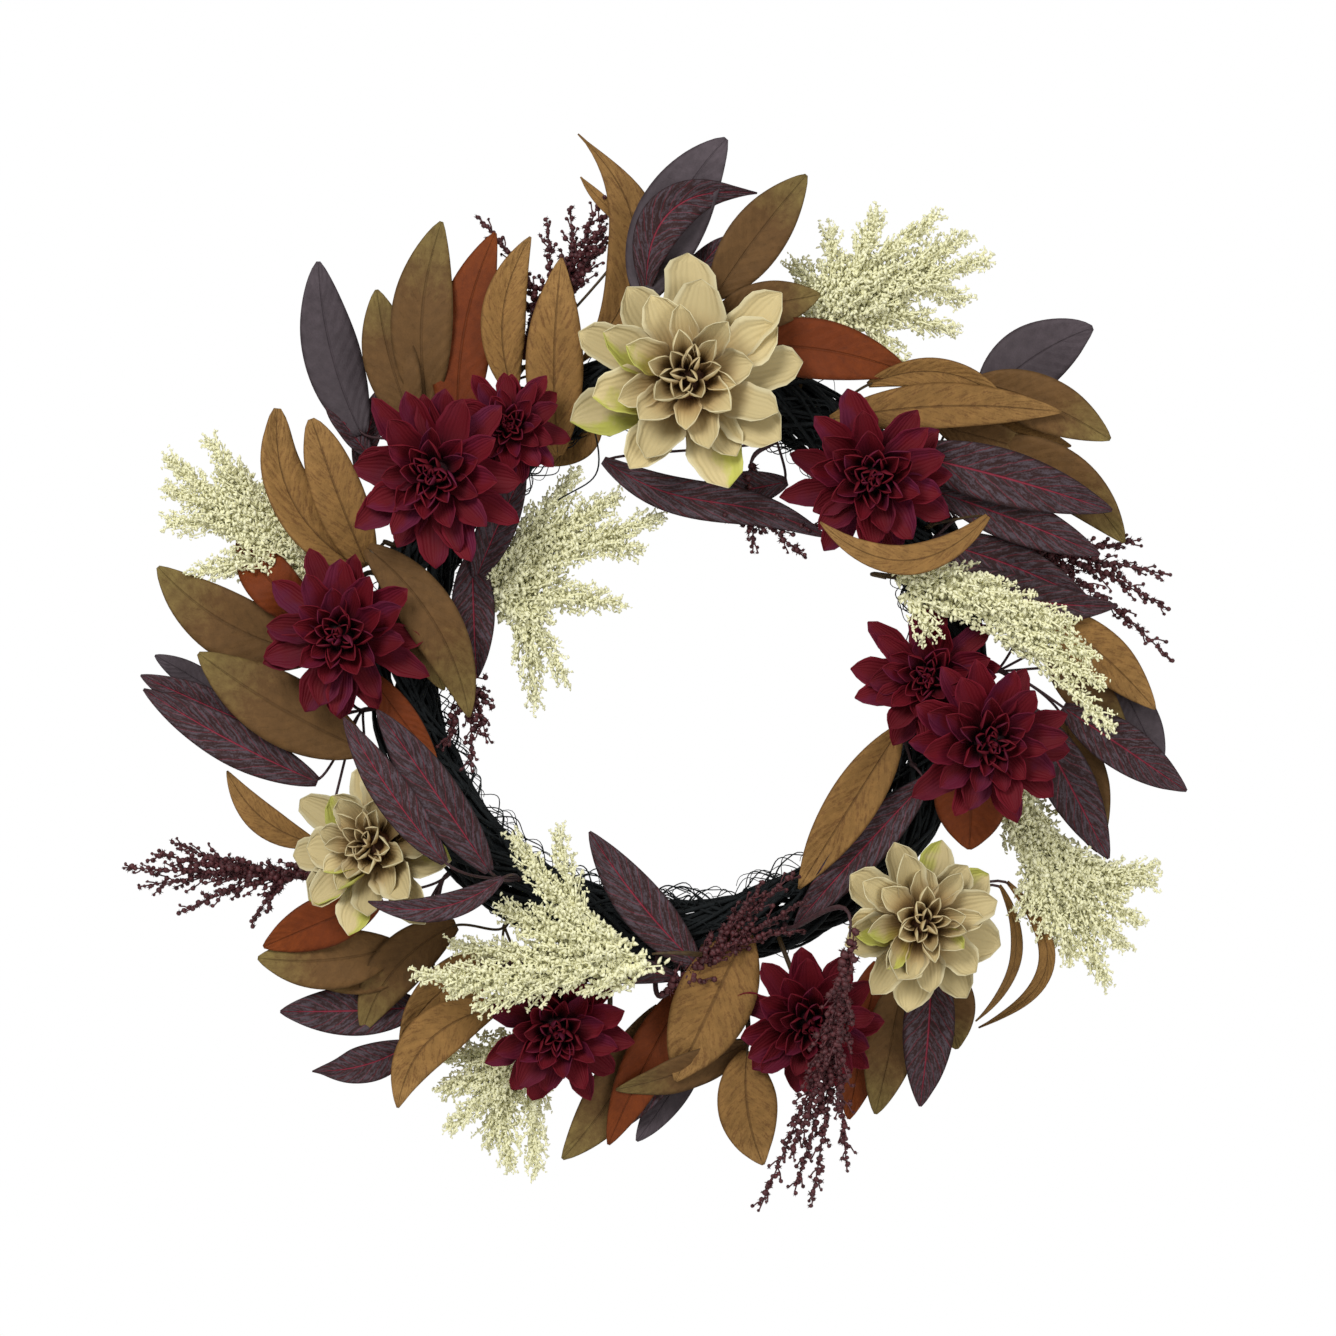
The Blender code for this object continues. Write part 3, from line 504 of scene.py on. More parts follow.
# %% The leaf table
LEAVES = {
    "leaf_pick_upper_left": (
        ("olive", -47, 52, -15, 70, 27, 14, 4, {"roll": -8}),
        ("olive", -43, 50, 4, 98, 31, 36, 8),
        ("smoke", -53, 71, -14, 92, 29, 30, -4),
        ("plum", -56, 60, -37, 36, 14, 0, 4, {"roll": 40}),
        ("plum", -48, 62, -3, 50, 16, 0, -8),
        ("plum", -57, 58, 16, 40, 14, 0, -6)),
    "leaf_pick_top_left": (
        ("tan", -28.5, -15, 1, 103, 29, 4, 6),
        ("tan", -30, 27, 6, 81, 23, 62, 5, {"roll": 10}),
        ("rust", -42, 26, 10, 108, 30, 24, 3),
        ("tan", -17, 30, -1, 120, 30, -108, 4, {"slim": 1.4}),
        ("tan", -7, 96, -46, 34, 7, 24, 1),
        ("tan", -21, -14, -137, 31, 22, 0, 2)),
    "leaf_pick_top": (
        ("smoke", -4, 54, 27, 92, 36, 36, -4),
        ("plum", -3, 54, 47, 76, 24, 128, 8, {"twist": 50, "slim": 1.0}),
        ("olive", 7, 56, 37, 77, 29, 0, 2),
        ("olive", 9, 42, 79, 50, 24, 0, 6),
        ("rust", 12, 22, 98, 94, 30, 24, 6),
        ("plum", 2, 60, 42, 30, 13, 0, -5)),
    "leaf_pick_top_right": (
        ("tan", 37, 36, 98, 72, 16, 60, 8, {"roll": 30}),
        ("tan", 35, 9, 88, 122, 24, 14, 10, {"twist": 20})),
    "leaf_pick_upper_right": (
        ("olive", 49, 78, 113, 74, 28, 26, 4),
        ("olive", 50, 47, 105, 50, 19, 0, 2),
        ("olive", 57, 56, 123, 90, 28, 50, 6),
        ("smoke", 50, 80, 56, 66, 34, 24, -2),
        ("tan", 55, 72, 104, 38, 13, 0, 8)),
    "leaf_pick_right_plum": (
        ("plum", 49, 18, 105, 117, 29, 10, 8),
        ("plum", 59, 22, 111, 91, 24, 6, 3),
        ("plum", 70, -10, 100, 112, 26, -30, 6, {"twist": 20}),
        ("plum", 67, 8, 111, 87, 24, 10, 2)),
    "leaf_pick_right_curl": (
        ("tan", 64, 24, -92, 84, 16, 112, 6, {"roll": 25}),),
    "leaf_pick_right": (
        ("plum", 98, 71, 124, 76, 24, -8, 8),
        ("plum", 100, 50, 152, 87, 26, 0, 6),
        ("tan", 84, 56, 130, 78, 25, 16, 8),
        ("olive", 90, 60, 137, 57, 23, 0, 2),
        ("olive", 101, 70, 166, 68, 28, 0, -2),
        ("smoke", 94, 98, 154, 48, 22, 10, -4)),
    "leaf_pick_right_inner": (
        ("tan", 111, -28, -148, 98, 28, -10, 8, {"fold": 26}),
        ("plum", 119, -3, -138, 103, 24, 0, 6, {"fold": 24})),
    "leaf_pick_right_rust": (
        ("rust", 111, 20, 180, 44, 37, 0, 2),),
    "leaf_pick_lower_right": (
        ("plum", 141, 70, -176, 77, 26, 0, 9),
        ("olive", 146, 70, -168, 71, 26, 0, 2),
        ("olive", 140, 80, 171, 40, 26, 0, 2),
        ("rust", 148, 56, -169, 82, 26, 0, 2),
        ("smoke", 144, 84, 172, 44, 20, 0, -6),
        ("tan", 126, 73, -169, 76, 9, 165, 10, {"roll": 30}),
        ("tan", 127, 71, -170, 70, 8, 82, 2, {"roll": -30})),
    "leaf_pick_bottom_tan": (
        ("tan", 168, 8, -155, 84, 40, 0, 10),
        ("tan", 170, 76, 172, 56, 30, -26, 4),
        ("olive", 172, 64, -110, 70, 21, 24, 4, {"roll": -25})),
    "leaf_pick_bottom_rust": (
        ("rust", 179, 34, -153, 94, 24, -10, 6),
        ("plum", 178, 52, -143, 76, 19, 0, 0),
        ("olive", -176, 48, -147, 94, 29, 24, 2),
        ("smoke", 178, 70, -146, 56, 18, 0, -5)),
    "leaf_pick_bottom_inner": (
        ("plum", 178, 8, -39, 88, 24, 10, 6),
        ("plum", -177, 21, -86, 103, 18, -10, 4)),
    "leaf_pick_lower_left": (
        ("tan", -152, 73, -135, 72, 26, -76, 8),
        ("tan", -150, 42, -128, 74, 26, -50, 6),
        ("olive", -140, 48, -139, 72, 26, -58, 4)),
    "leaf_pick_lower_left_rim": (
        ("rust", -128, 67, -113, 64, 26, 0, 6),
        ("olive", -134, 78, -95, 70, 30, 24, 4),
        ("olive", -137, 72, -102, 58, 28, 10, 2),
        ("plum", -142, 94, -92, 72, 26, 0, 2),
        ("plum", -144, 116, -106, 50, 20, 40, 4, {"twist": 70})),
    "leaf_pick_left_inner": (
        ("plum", -128, 12, -35, 88, 19, 0, 4),
        ("plum", -135, -3, -35, 99, 24, 0, 6),
        ("plum", -139, 4, -100, 66, 14, 60, 2)),
    "leaf_pick_left": (
        ("olive", -104, 34, -60, 100, 35, 12, 6),
        ("plum", -107, 65, -62, 103, 23, 8, 4),
        ("plum", -98, 92, -66, 64, 18, 0, -3),
        ("tan", -115, 77, -51, 57, 16, 62, 4, {"twist": 30}),
        ("olive", -88, 57, -61, 94, 34, 48, 4),
        ("rust", -82, 62, -42, 52, 26, 0, 19),
        ("smoke", -94, 108, -58, 40, 14, 0, -3)),
    "leaf_pick_left_fold": (
        ("tan", -71, 32, -21, 80, 26, 0, 12, {"slim": 0.55}),
        ("tan", -72, 35, -28, 94, 26, 78, 10, {"roll": 18, "slim": 0.5})),
    "leaf_pick_left_arch": (
        ("olive", -72, 22, 149, 102, 27, 44, 12),
        ("olive", -78, 3, 154, 56, 21, 20, 4),
        ("rust", -95, 12, 143, 54, 16, 0, 3)),
    "leaf_pick_upper_left_inner": (
        ("plum", -64, -34, 24, 60, 19, 0, 4),
        ("plum", -66, -30, 178, 62, 22, 0, 4)),
    "berry_pick_top": (
        ("plum", -17, -42, 109, 124, 20, -12, 2, {"sway": 0.03}),
        ("plum", 28, -44, -98, 54, 19, 10, 2)),
}
print("leaves:", sum(len(rows) for rows in LEAVES.values()))


# %% One leaf
BLADE_STEPS = 26
BLADE_COLUMNS = 9
FRONT = Vector((0.0, -1.0, 0.0))
FOLDS = {"olive": 11.0, "tan": 14.0, "rust": 10.0, "plum": 16.0, "smoke": -9.0}
SLIM = {"olive": 0.74, "tan": 0.80, "rust": 0.74, "plum": 0.76, "smoke": 0.70}
HIDDEN_BASE = 9.0
CUT_WIDTH = 1.15
EDGE_RIPPLE = 0.045
QUILTING = 0.018
TONES = random.Random(11)


def leaf(cloth, base, direction, length, width, bend, rise, finish, special):
    """Add one leaf to a piece of cloth; gives where its midrib starts and in which direction."""
    along = heading(direction)
    across = heading(direction + 90.0)
    base = base - along * HIDDEN_BASE
    length += HIDDEN_BASE
    width *= CUT_WIDTH
    rise += TONES.uniform(-1.5, 1.5)
    roll = special.get("roll", 0) + TONES.uniform(-9.0, 9.0)
    twist = special.get("twist", 0) + TONES.uniform(-18.0, 18.0)
    fold = math.radians(special.get("fold", FOLDS[finish]) + TONES.uniform(-4.0, 4.0))
    bend += TONES.uniform(-9.0, 9.0)
    phase = TONES.uniform(0.0, 6.0)
    tone = (TONES.random(), TONES.random(), 0.0)
    middles = []
    for step in range(BLADE_STEPS + 1):
        t = step / BLADE_STEPS
        aside = -math.radians(bend) / 2.0 * length * t * (1.0 - t)
        aside += special.get("sway", 0.0) * length * math.sin(2.0 * math.pi * t)
        point = base + along * (length * t) + across * aside
        point.y -= rise * math.sin(math.pi * min(1.15 * t, 1.0)) - 0.25 * rise * t
        middles.append(point)
    rows = []
    for step, point in enumerate(middles):
        t = step / BLADE_STEPS
        after = middles[min(step + 1, BLADE_STEPS)]
        before = middles[max(step - 1, 0)]
        tangent = (after - before).normalized()
        side = tangent.cross(FRONT).normalized() * -1.0
        normal = side.cross(tangent).normalized()
        if normal.y > 0.0:
            normal.negate()
        turn = math.radians(roll + twist * t * t)
        side, normal = side * math.cos(turn) + normal * math.sin(turn), \
            normal * math.cos(turn) - side * math.sin(turn)
        share = math.sin(math.pi * (0.03 + 0.962 * t) ** 0.90) ** special.get("slim", SLIM[finish])
        half = max(width / 2.0 * share, 0.5)
        row = []
        for column in range(BLADE_COLUMNS):
            u = 2.0 * column / (BLADE_COLUMNS - 1) - 1.0
            ripple = EDGE_RIPPLE * half * math.sin(15.0 * t + phase + (1.3 if u > 0.0 else 0.0)) * u * u
            quilt = QUILTING * half * math.sin(22.0 * math.pi * (t - 0.21 * abs(u))) * (1.0 - u * u) ** 0.5
            lift = abs(u) * half * math.sin(fold) + ripple + quilt - 0.25 * half * u * u * math.sin(fold)
            row.append(point + side * (u * half * math.cos(fold)) + normal * lift)
        rows.append(row)
    cloth.grid(rows, tone)
    return base, (middles[1] - middles[0]).normalized()


# %% Leaf picks
LEAF_GAP = 2.8
STALK = 0.8
STEM_OUT = 15.0
STEM_THICK = 1.5
LEAF_CLOTH = 0.4
PETAL_CLOTH = 0.35
LEAN_ROOM = {"leaf_pick_left_arch": 4, "leaf_pick_left_inner": 4, "leaf_pick_top_left": 2,
             "leaf_pick_upper_left_inner": 6}


def leaf_pick(node, rows):
    """Leaves of one pick, a piece for each finish, and the stalks that carry them."""
    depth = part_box(node)[0].y / MM + 0.5 + LEAN_ROOM.get(node, 0)
    start, outward = socket_of(node)
    mouth = start + outward * STEM_OUT
    # leaves that grow from a berry pick come besides its berries, which stand for its node
    stands_for = [node] if node.startswith("leaf") else []
    cloths = {}
    stalks = [tube([start, mouth, mouth + outward * 2.0], [STEM_THICK, STEM_THICK, 1.1], 8)]
    for index, (finish, clock, out, direction, length, width, bend, rise, *special) in enumerate(rows):
        base = place(clock, out, depth + LEAF_GAP * (index - 0.5 * len(rows)))
        cloth = cloths.setdefault(finish, Cloth())
        root, entry = leaf(cloth, base, direction, length, width, bend, rise, finish, dict(*special))
        facing = entry.dot((root - mouth).normalized())
        pull = (root - mouth).length * (0.10 + 0.20 * max(facing, 0.0))
        line = bezier(mouth, mouth + outward * pull, root - entry * pull, root + entry * 3.0, 16)
        stalks.append(tube(line, [STALK] * 16 + [0.4], 7))
    for finish, cloth in cloths.items():
        piece = cloth.piece(f"{node}_{finish}", LEAF_FINISHES[finish], LEAF_CLOTH)
        settle(piece, "wreath", LEAF_SLOTS[finish], *stands_for)
    twigs = solid_piece(f"{node}_stalks", stalks, PLUM_STEM if "plum" in cloths else STEM)
    settle(twigs, "wreath", "stem", *stands_for)
    return len(cloths)


pieces = sum(leaf_pick(node, rows) for node, rows in LEAVES.items())
print("leaf pieces:", pieces)

# %% [markdown]
# ## Dahlias
# A fabric dahlia is a stack of petals: wide ones at the back and ever smaller, steeper ones towards the
# heart, where they curl into quills round a closed bud. So a head is a list of whorls. Each whorl says how
# many petals it has, where their roots stand (as shares of the head's radius and depth), how steeply they
# rise at root and tip, how long and wide they are as a share of the radius, how far the cloth curls across
# at root and tip, and by what part of a petal the whorl is turned. Edges are a little frayed and wavy. The
# head's own axis and centre come from its joint, and so does the room that its petals sweep as it turns.

# %% The whorls
WHORLS = {
    "cream": (
        (9, 0.08, 0.12, 6, 16, 1.03, 0.50, 0.6, 0.9, 0.00),
        (8, 0.08, 0.22, 16, 24, 0.82, 0.46, 0.7, 1.0, 0.50),
        (8, 0.09, 0.32, 30, 34, 0.62, 0.36, 0.9, 1.2, 0.22),
        (6, 0.10, 0.40, 46, 44, 0.46, 0.30, 1.3, 1.5, 0.65),
        (6, 0.09, 0.44, 62, 58, 0.36, 0.26, 1.9, 1.7, 0.10),
        (5, 0.06, 0.48, 78, 70, 0.30, 0.22, 2.4, 2.1, 0.40)),
    "red": (
        (11, 0.10, 0.10, 2, 12, 1.05, 0.42, 0.5, 0.8, 0.00),
        (10, 0.10, 0.20, 14, 22, 0.88, 0.42, 0.6, 0.9, 0.50),
        (9, 0.12, 0.30, 28, 40, 0.62, 0.37, 0.9, 1.2, 0.25),
        (8, 0.13, 0.38, 42, 56, 0.47, 0.32, 1.2, 1.5, 0.70),
        (7, 0.13, 0.44, 58, 74, 0.37, 0.27, 1.6, 1.8, 0.15),
        (6, 0.10, 0.48, 70, 92, 0.31, 0.24, 2.0, 2.1, 0.45),
        (4, 0.05, 0.50, 80, 100, 0.27, 0.20, 2.3, 2.3, 0.85)),
}
PETAL_STEPS = 12
PETAL_COLUMNS = 8
PETAL_FOOT = 0.26
PETAL_TURN = 0.24
FRAY = 0.07
WAVE = 0.11
RIPPLE = 0.06
LIME_SHARE = 0.24
WIDEST = {"cream": 0.68, "red": 0.62}
BLUNT = {"cream": 2.3, "red": 1.9}
BUD_SIDES = 20
# heads whose longest petals would meet their neighbours as they turn: how far a petal may reach
REACH = {"cream_dahlia_right": 0.97, "red_dahlia_lower_right": 1.02, "red_dahlia_lower_left": 1.06}
FREE_REACH = 1.3
TURNING_ROOMS = []
CRUMB_ROOM = 5.0
BEHIND = -4.0
BUD = ((0.05, 0.00), (0.11, 0.04), (0.17, 0.18), (0.22, 0.34), (0.19, 0.50), (0.10, 0.58), (0.0, 0.60))


# %% One petal and one head
def petal(cloth, to_world, azimuth, root, height, rise_root, rise_tip, length, width, curl_root,
          curl_tip, kind, tone, phase, sway):
    """Add one petal, in mm round the head's own axis."""
    widest = WIDEST[kind]
    out = Vector((math.cos(azimuth), math.sin(azimuth), 0.0))
    side = Vector((-math.sin(azimuth), math.cos(azimuth), 0.0))
    up = Vector((0.0, 0.0, 1.0))
    point = out * root + up * height
    rows = []
    for step in range(PETAL_STEPS + 1):
        t = step / PETAL_STEPS
        slope = math.radians(rise_root + (rise_tip - rise_root) * t)
        tangent = out * math.cos(slope) + up * math.sin(slope)
        normal = up * math.cos(slope) - out * math.sin(slope)
        if step:
            point = point + tangent * (length / PETAL_STEPS)
        share = PETAL_FOOT + (1.0 - PETAL_FOOT) * math.sin(0.5 * math.pi * min(t / widest, 1.0)) ** 1.3
        if t > widest:
            share = max(1.0 - ((t - widest) / (1.0 - widest)) ** BLUNT[kind], 0.0) ** 0.62
        frayed = 1.0 + FRAY * math.sin(19.0 * t + 3.0 * phase)
        half = max(0.5 * width * share * frayed, 0.25)
        middle = point + side * (sway * length * t * t)
        curl = curl_root + (curl_tip - curl_root) * t
        row = []
        for column in range(PETAL_COLUMNS):
            u = 2.0 * column / (PETAL_COLUMNS - 1) - 1.0
            aside = half * math.sin(curl * u) / curl
            lift = half * (1.0 - math.cos(curl * u)) / curl
            lift += WAVE * half * math.sin(7.0 * t + phase) * u
            lift += RIPPLE * half * math.cos(4.0 * math.pi * u)
            row.append(to_world @ (middle + side * aside + normal * lift))
        rows.append(row)
    cloth.grid(rows, tone)


def turned(profile, to_world):
    """Closed body turned round the head's axis from (radius, height) points; the last is on the axis."""
    rings = []
    for out, high in profile[:-1]:
        turns = [2.0 * math.pi * step / BUD_SIDES for step in range(BUD_SIDES)]
        rings.append([to_world @ Vector((out * math.cos(turn), out * math.sin(turn), high))
                      for turn in turns])
    verts, faces = skin(rings)
    cap = faces.pop()
    faces.extend((corner, cap[(step + 1) % BUD_SIDES], len(verts)) for step, corner in enumerate(cap))
    verts.append(to_world @ Vector((0.0, 0.0, profile[-1][1])))
    return verts, faces


def flower_head(joint):
    """Petals of one head, on the axis of its joint."""
    body = joint["child"]
    node = frame["record"]["behaviour"]["bodies"][body][0]
    kind = "cream" if node.startswith("cream") else "red"
    axis = Vector(joint["axis"]).normalized()
    centre = Vector(joint["pos_m"]) / MM
    turn = Vector((0.0, 0.0, 1.0)).rotation_difference(axis)
    to_world = Matrix.Translation(centre) @ turn.to_matrix().to_4x4()
    local = [to_world.inverted() @ (vertex.co / MM) for vertex in frame["nodes"][node].data.vertices]
    radius = max(math.hypot(point.x, point.y) for point in local)
    depth = max(point.z for point in local)
    TURNING_ROOMS.append((to_world.inverted(), 1.12 * radius + CRUMB_ROOM, 0.9 * depth))
    chance = random.Random(node)
    cloth = Cloth()
    whorls = WHORLS[kind]
    for index, (count, root, height, rise_root, rise_tip, length, width, curl_root, curl_tip,
                offset) in enumerate(whorls):
        for number in range(count):
            azimuth = 2.0 * math.pi * (number + offset + chance.uniform(-PETAL_TURN, PETAL_TURN)) / count
            lime = 1.0 if kind == "cream" and index in (0, 1, 2) and chance.random() < LIME_SHARE else 0.0
            glow = chance.random() if kind == "red" else lime
            tone = (1.0 - index / (len(whorls) - 1), chance.random(), glow)
            tilt = chance.uniform(-10.0, 10.0)
            bend = chance.uniform(-5.0, 5.0)
            long = min(length * chance.uniform(0.82, 1.03), REACH.get(node, FREE_REACH) - root)
            wide = width * chance.uniform(0.84, 1.12)
            curled = curl_tip * chance.uniform(0.8, 1.3)
            petal(cloth, to_world, azimuth, root * radius, height * depth, rise_root + tilt,
                  rise_tip + tilt + bend, long * radius, wide * radius, curl_root, curled, kind, tone,
                  chance.uniform(0.0, 6.0), chance.uniform(-0.13, 0.13))
    piece = cloth.piece(f"{node}_petals", PETAL_FINISHES[kind], PETAL_CLOTH)
    settle(piece, body, f"petal_{kind}", node)
    bud = turned([(out * radius, high * depth) for out, high in BUD], to_world)
    core = solid_piece(f"{node}_bud", [bud], BUDS[kind])
    settle(core, body, f"petal_{kind}", node)
    return node


for joint in frame["joints"]:
    if joint["name"].endswith("_turn"):
        flower_head(joint)

# %% [markdown]
# ## Stems
# The flower stems are moulded plastic over wire. Their solids already run the right way, so a copy is
# merged, smoothed with a Subdivision Surface and given the stem's finish, which makes it round.

# %% Round flower stems
def flower_stem(node):
    """Rounded copy of a stem's solid."""
    mesh = frame["nodes"][node].data.copy()
    mesh.name = f"{node}_round"
    work = bmesh.new()
    work.from_mesh(mesh)
    bmesh.ops.remove_doubles(work, verts=work.verts, dist=1e-6)
    bmesh.ops.dissolve_limit(work, angle_limit=math.radians(1.0), verts=work.verts, edges=work.edges)
    work.to_mesh(mesh)
    work.free()
    mesh.materials.clear()
    mesh.materials.append(STEM)
    mesh.shade_smooth()
    made = new_object(f"{node}_round", mesh)
    smooth = made.modifiers.new("round", "SUBSURF")
    smooth.levels = 2
    smooth.render_levels = 2
    return settle(made, "wreath", "stem", node)


stems = [flower_stem(node) for node in frame["nodes"] if node.endswith("_stem")]
print("flower stems:", len(stems))

# %% [markdown]
# ## Plumes and berry sprays
# Both are thin branching twigs that carry hundreds of small shapes: foam crumbs on a plume, berries with a
# star on a berry spray. Placing those by hand would be hopeless, so the script only lays out the twigs, and
# one Geometry Nodes tree sets points along them, scatters them a little, puts the small shape on each and
# skins the twigs. Its sizes are the tree's inputs. The result is turned into a plain mesh.

# %% Geometry Nodes tree: shapes along twigs
def twig_tree():
    """Tree with the inputs Shape, Spacing, Scatter, Size, Twig radius, Seed and Finish."""
    tree = bpy.data.node_groups.new("shapes_along_twigs", "GeometryNodeTree")
    face = tree.interface
    face.new_socket("Geometry", in_out="INPUT", socket_type="NodeSocketGeometry")
    for name, kind in (("Shape", "NodeSocketObject"), ("Spacing", "NodeSocketFloat"),
                       ("Scatter", "NodeSocketFloat"), ("Size", "NodeSocketFloat"),
                       ("Twig radius", "NodeSocketFloat"), ("Seed", "NodeSocketInt"),
                       ("Finish", "NodeSocketMaterial")):
        face.new_socket(name, in_out="INPUT", socket_type=kind)
    face.new_socket("Geometry", in_out="OUTPUT", socket_type="NodeSocketGeometry")
    given = add(tree, "NodeGroupInput").outputs
    curves = add(tree, "GeometryNodeMeshToCurve", {0: given["Geometry"]})
    points = add(tree, "GeometryNodeCurveToPoints", {"Curve": curves, "Length": given["Spacing"]},
                 mode="LENGTH")
    unit = add(tree, "FunctionNodeRandomValue",
               {"Min": (-1.0, -1.0, -1.0), "Max": (1.0, 1.0, 1.0), "Seed": given["Seed"]},
               data_type="FLOAT_VECTOR")
    share = add(tree, "GeometryNodeInputNamedAttribute", {"Name": "size"}, data_type="FLOAT")
    reach = add(tree, "ShaderNodeMath", {0: given["Scatter"], 1: share}, operation="MULTIPLY")
    offset = add(tree, "ShaderNodeVectorMath", {0: unit, "Scale": reach}, operation="SCALE")
    moved = add(tree, "GeometryNodeSetPosition", {"Geometry": points, "Offset": offset})
    turn = add(tree, "FunctionNodeRandomValue",
               {"Min": (0.0, 0.0, 0.0), "Max": (6.283, 6.283, 6.283), "Seed": given["Seed"]},
               data_type="FLOAT_VECTOR")
    vary = add(tree, "FunctionNodeRandomValue", {2: 0.7, 3: 1.25, "Seed": given["Seed"]}, data_type="FLOAT")
    scale = add(tree, "ShaderNodeMath", {0: vary.outputs[1], 1: given["Size"]}, operation="MULTIPLY")
    scale = add(tree, "ShaderNodeMath", {0: scale, 1: share}, operation="MULTIPLY")
    shape = add(tree, "GeometryNodeObjectInfo", {"Object": given["Shape"]})
    spread = add(tree, "GeometryNodeInstanceOnPoints",
                 {"Points": moved, "Instance": shape.outputs["Geometry"],
                  "Rotation": turn, "Scale": scale})
    ring = add(tree, "GeometryNodeCurvePrimitiveCircle", {"Resolution": 5, "Radius": given["Twig radius"]})
    skin = add(tree, "GeometryNodeCurveToMesh", {"Curve": curves, "Profile Curve": ring, "Fill Caps": True})
    both = add(tree, "GeometryNodeJoinGeometry")
    tree.links.new(spread.outputs[0], both.inputs[0])
    tree.links.new(skin.outputs[0], both.inputs[0])
    real = add(tree, "GeometryNodeRealizeInstances", {0: both})
    done = add(tree, "GeometryNodeSetMaterial", {"Geometry": real, "Material": given["Finish"]})
    add(tree, "NodeGroupOutput", {0: done})
    return tree


TWIG_TREE = twig_tree()


def grown(name, paths, **inputs):
    """Plain mesh piece that the twig tree makes on (points, sizes) paths, in mm."""
    verts = []
    edges = []
    sizes = []
    for points, shares in paths:
        start = len(verts)
        verts.extend(point * MM for point in points)
        sizes.extend(shares)
        edges.extend((start + step, start + step + 1) for step in range(len(points) - 1))
    mesh = bpy.data.meshes.new(name + "_twigs")
    mesh.from_pydata(verts, edges, [])
    attribute = mesh.attributes.new("size", "FLOAT", "POINT")
    attribute.data.foreach_set("value", sizes)
    carrier = new_object(name + "_twigs", mesh)
    modifier = carrier.modifiers.new("twigs", "NODES")
    modifier.node_group = TWIG_TREE
    sockets = {item.name: item.identifier for item in TWIG_TREE.interface.items_tree
               if item.in_out == "INPUT"}
    for key, value in inputs.items():
        modifier[sockets[key.replace("_", " ")]] = value
    result = bpy.data.meshes.new_from_object(carrier.evaluated_get(bpy.context.evaluated_depsgraph_get()))
    bpy.data.objects.remove(carrier, do_unlink=True)
    result.name = name
    result.shade_smooth()
    return new_object(name, result)


# %% The two small shapes
def crumb():
    """Foam crumb: a dented ball of radius about 1, pressed flat."""
    work = bmesh.new()
    bmesh.ops.create_icosphere(work, subdivisions=1, radius=1.0)
    chance = random.Random(3)
    for vertex in work.verts:
        vertex.co *= chance.uniform(0.62, 1.25)
        vertex.co.x *= 1.35
        vertex.co.z *= 0.6
    return bpy.data.objects.new("crumb", mesh_of("crumb", work))


def star_berry():
    """Berry of radius 1 with five sepals in a star at its end."""
    work = bmesh.new()
    bmesh.ops.create_uvsphere(work, u_segments=7, v_segments=5, radius=1.0)
    for number in range(5):
        turn = 2.0 * math.pi * number / 5.0
        arm = Vector((math.cos(turn), math.sin(turn), 0.0))
        side = Vector((-arm.y, arm.x, 0.0))
        root = arm * 0.35 + Vector((0.0, 0.0, 0.82))
        tip = arm * 1.05 + Vector((0.0, 0.0, 1.65))
        corners = [work.verts.new(root + side * 0.26), work.verts.new(root - side * 0.26),
                   work.verts.new(root - arm * 0.25 + Vector((0.0, 0.0, 0.2))), work.verts.new(tip)]
        for loop in ((0, 2, 1), (0, 1, 3), (1, 2, 3), (2, 0, 3)):
            work.faces.new([corners[index] for index in loop])
    bmesh.ops.recalc_face_normals(work, faces=work.faces)
    return bpy.data.objects.new("star_berry", mesh_of("star_berry", work))


CRUMB = crumb()
STAR_BERRY = star_berry()
print("crumb and berry have", len(CRUMB.data.polygons), "and", len(STAR_BERRY.data.polygons), "faces")

# %% [markdown]
# ## Laying out the twigs
# A plume's branch carries side twigs all round it, long near its foot and short near its tip, at about
# forty degrees. A berry branch is sparser, with shorter side twigs. A golden-angle turn from one twig to
# the next keeps them from lining up. Twigs that would stand where a head's petals sweep are left out.

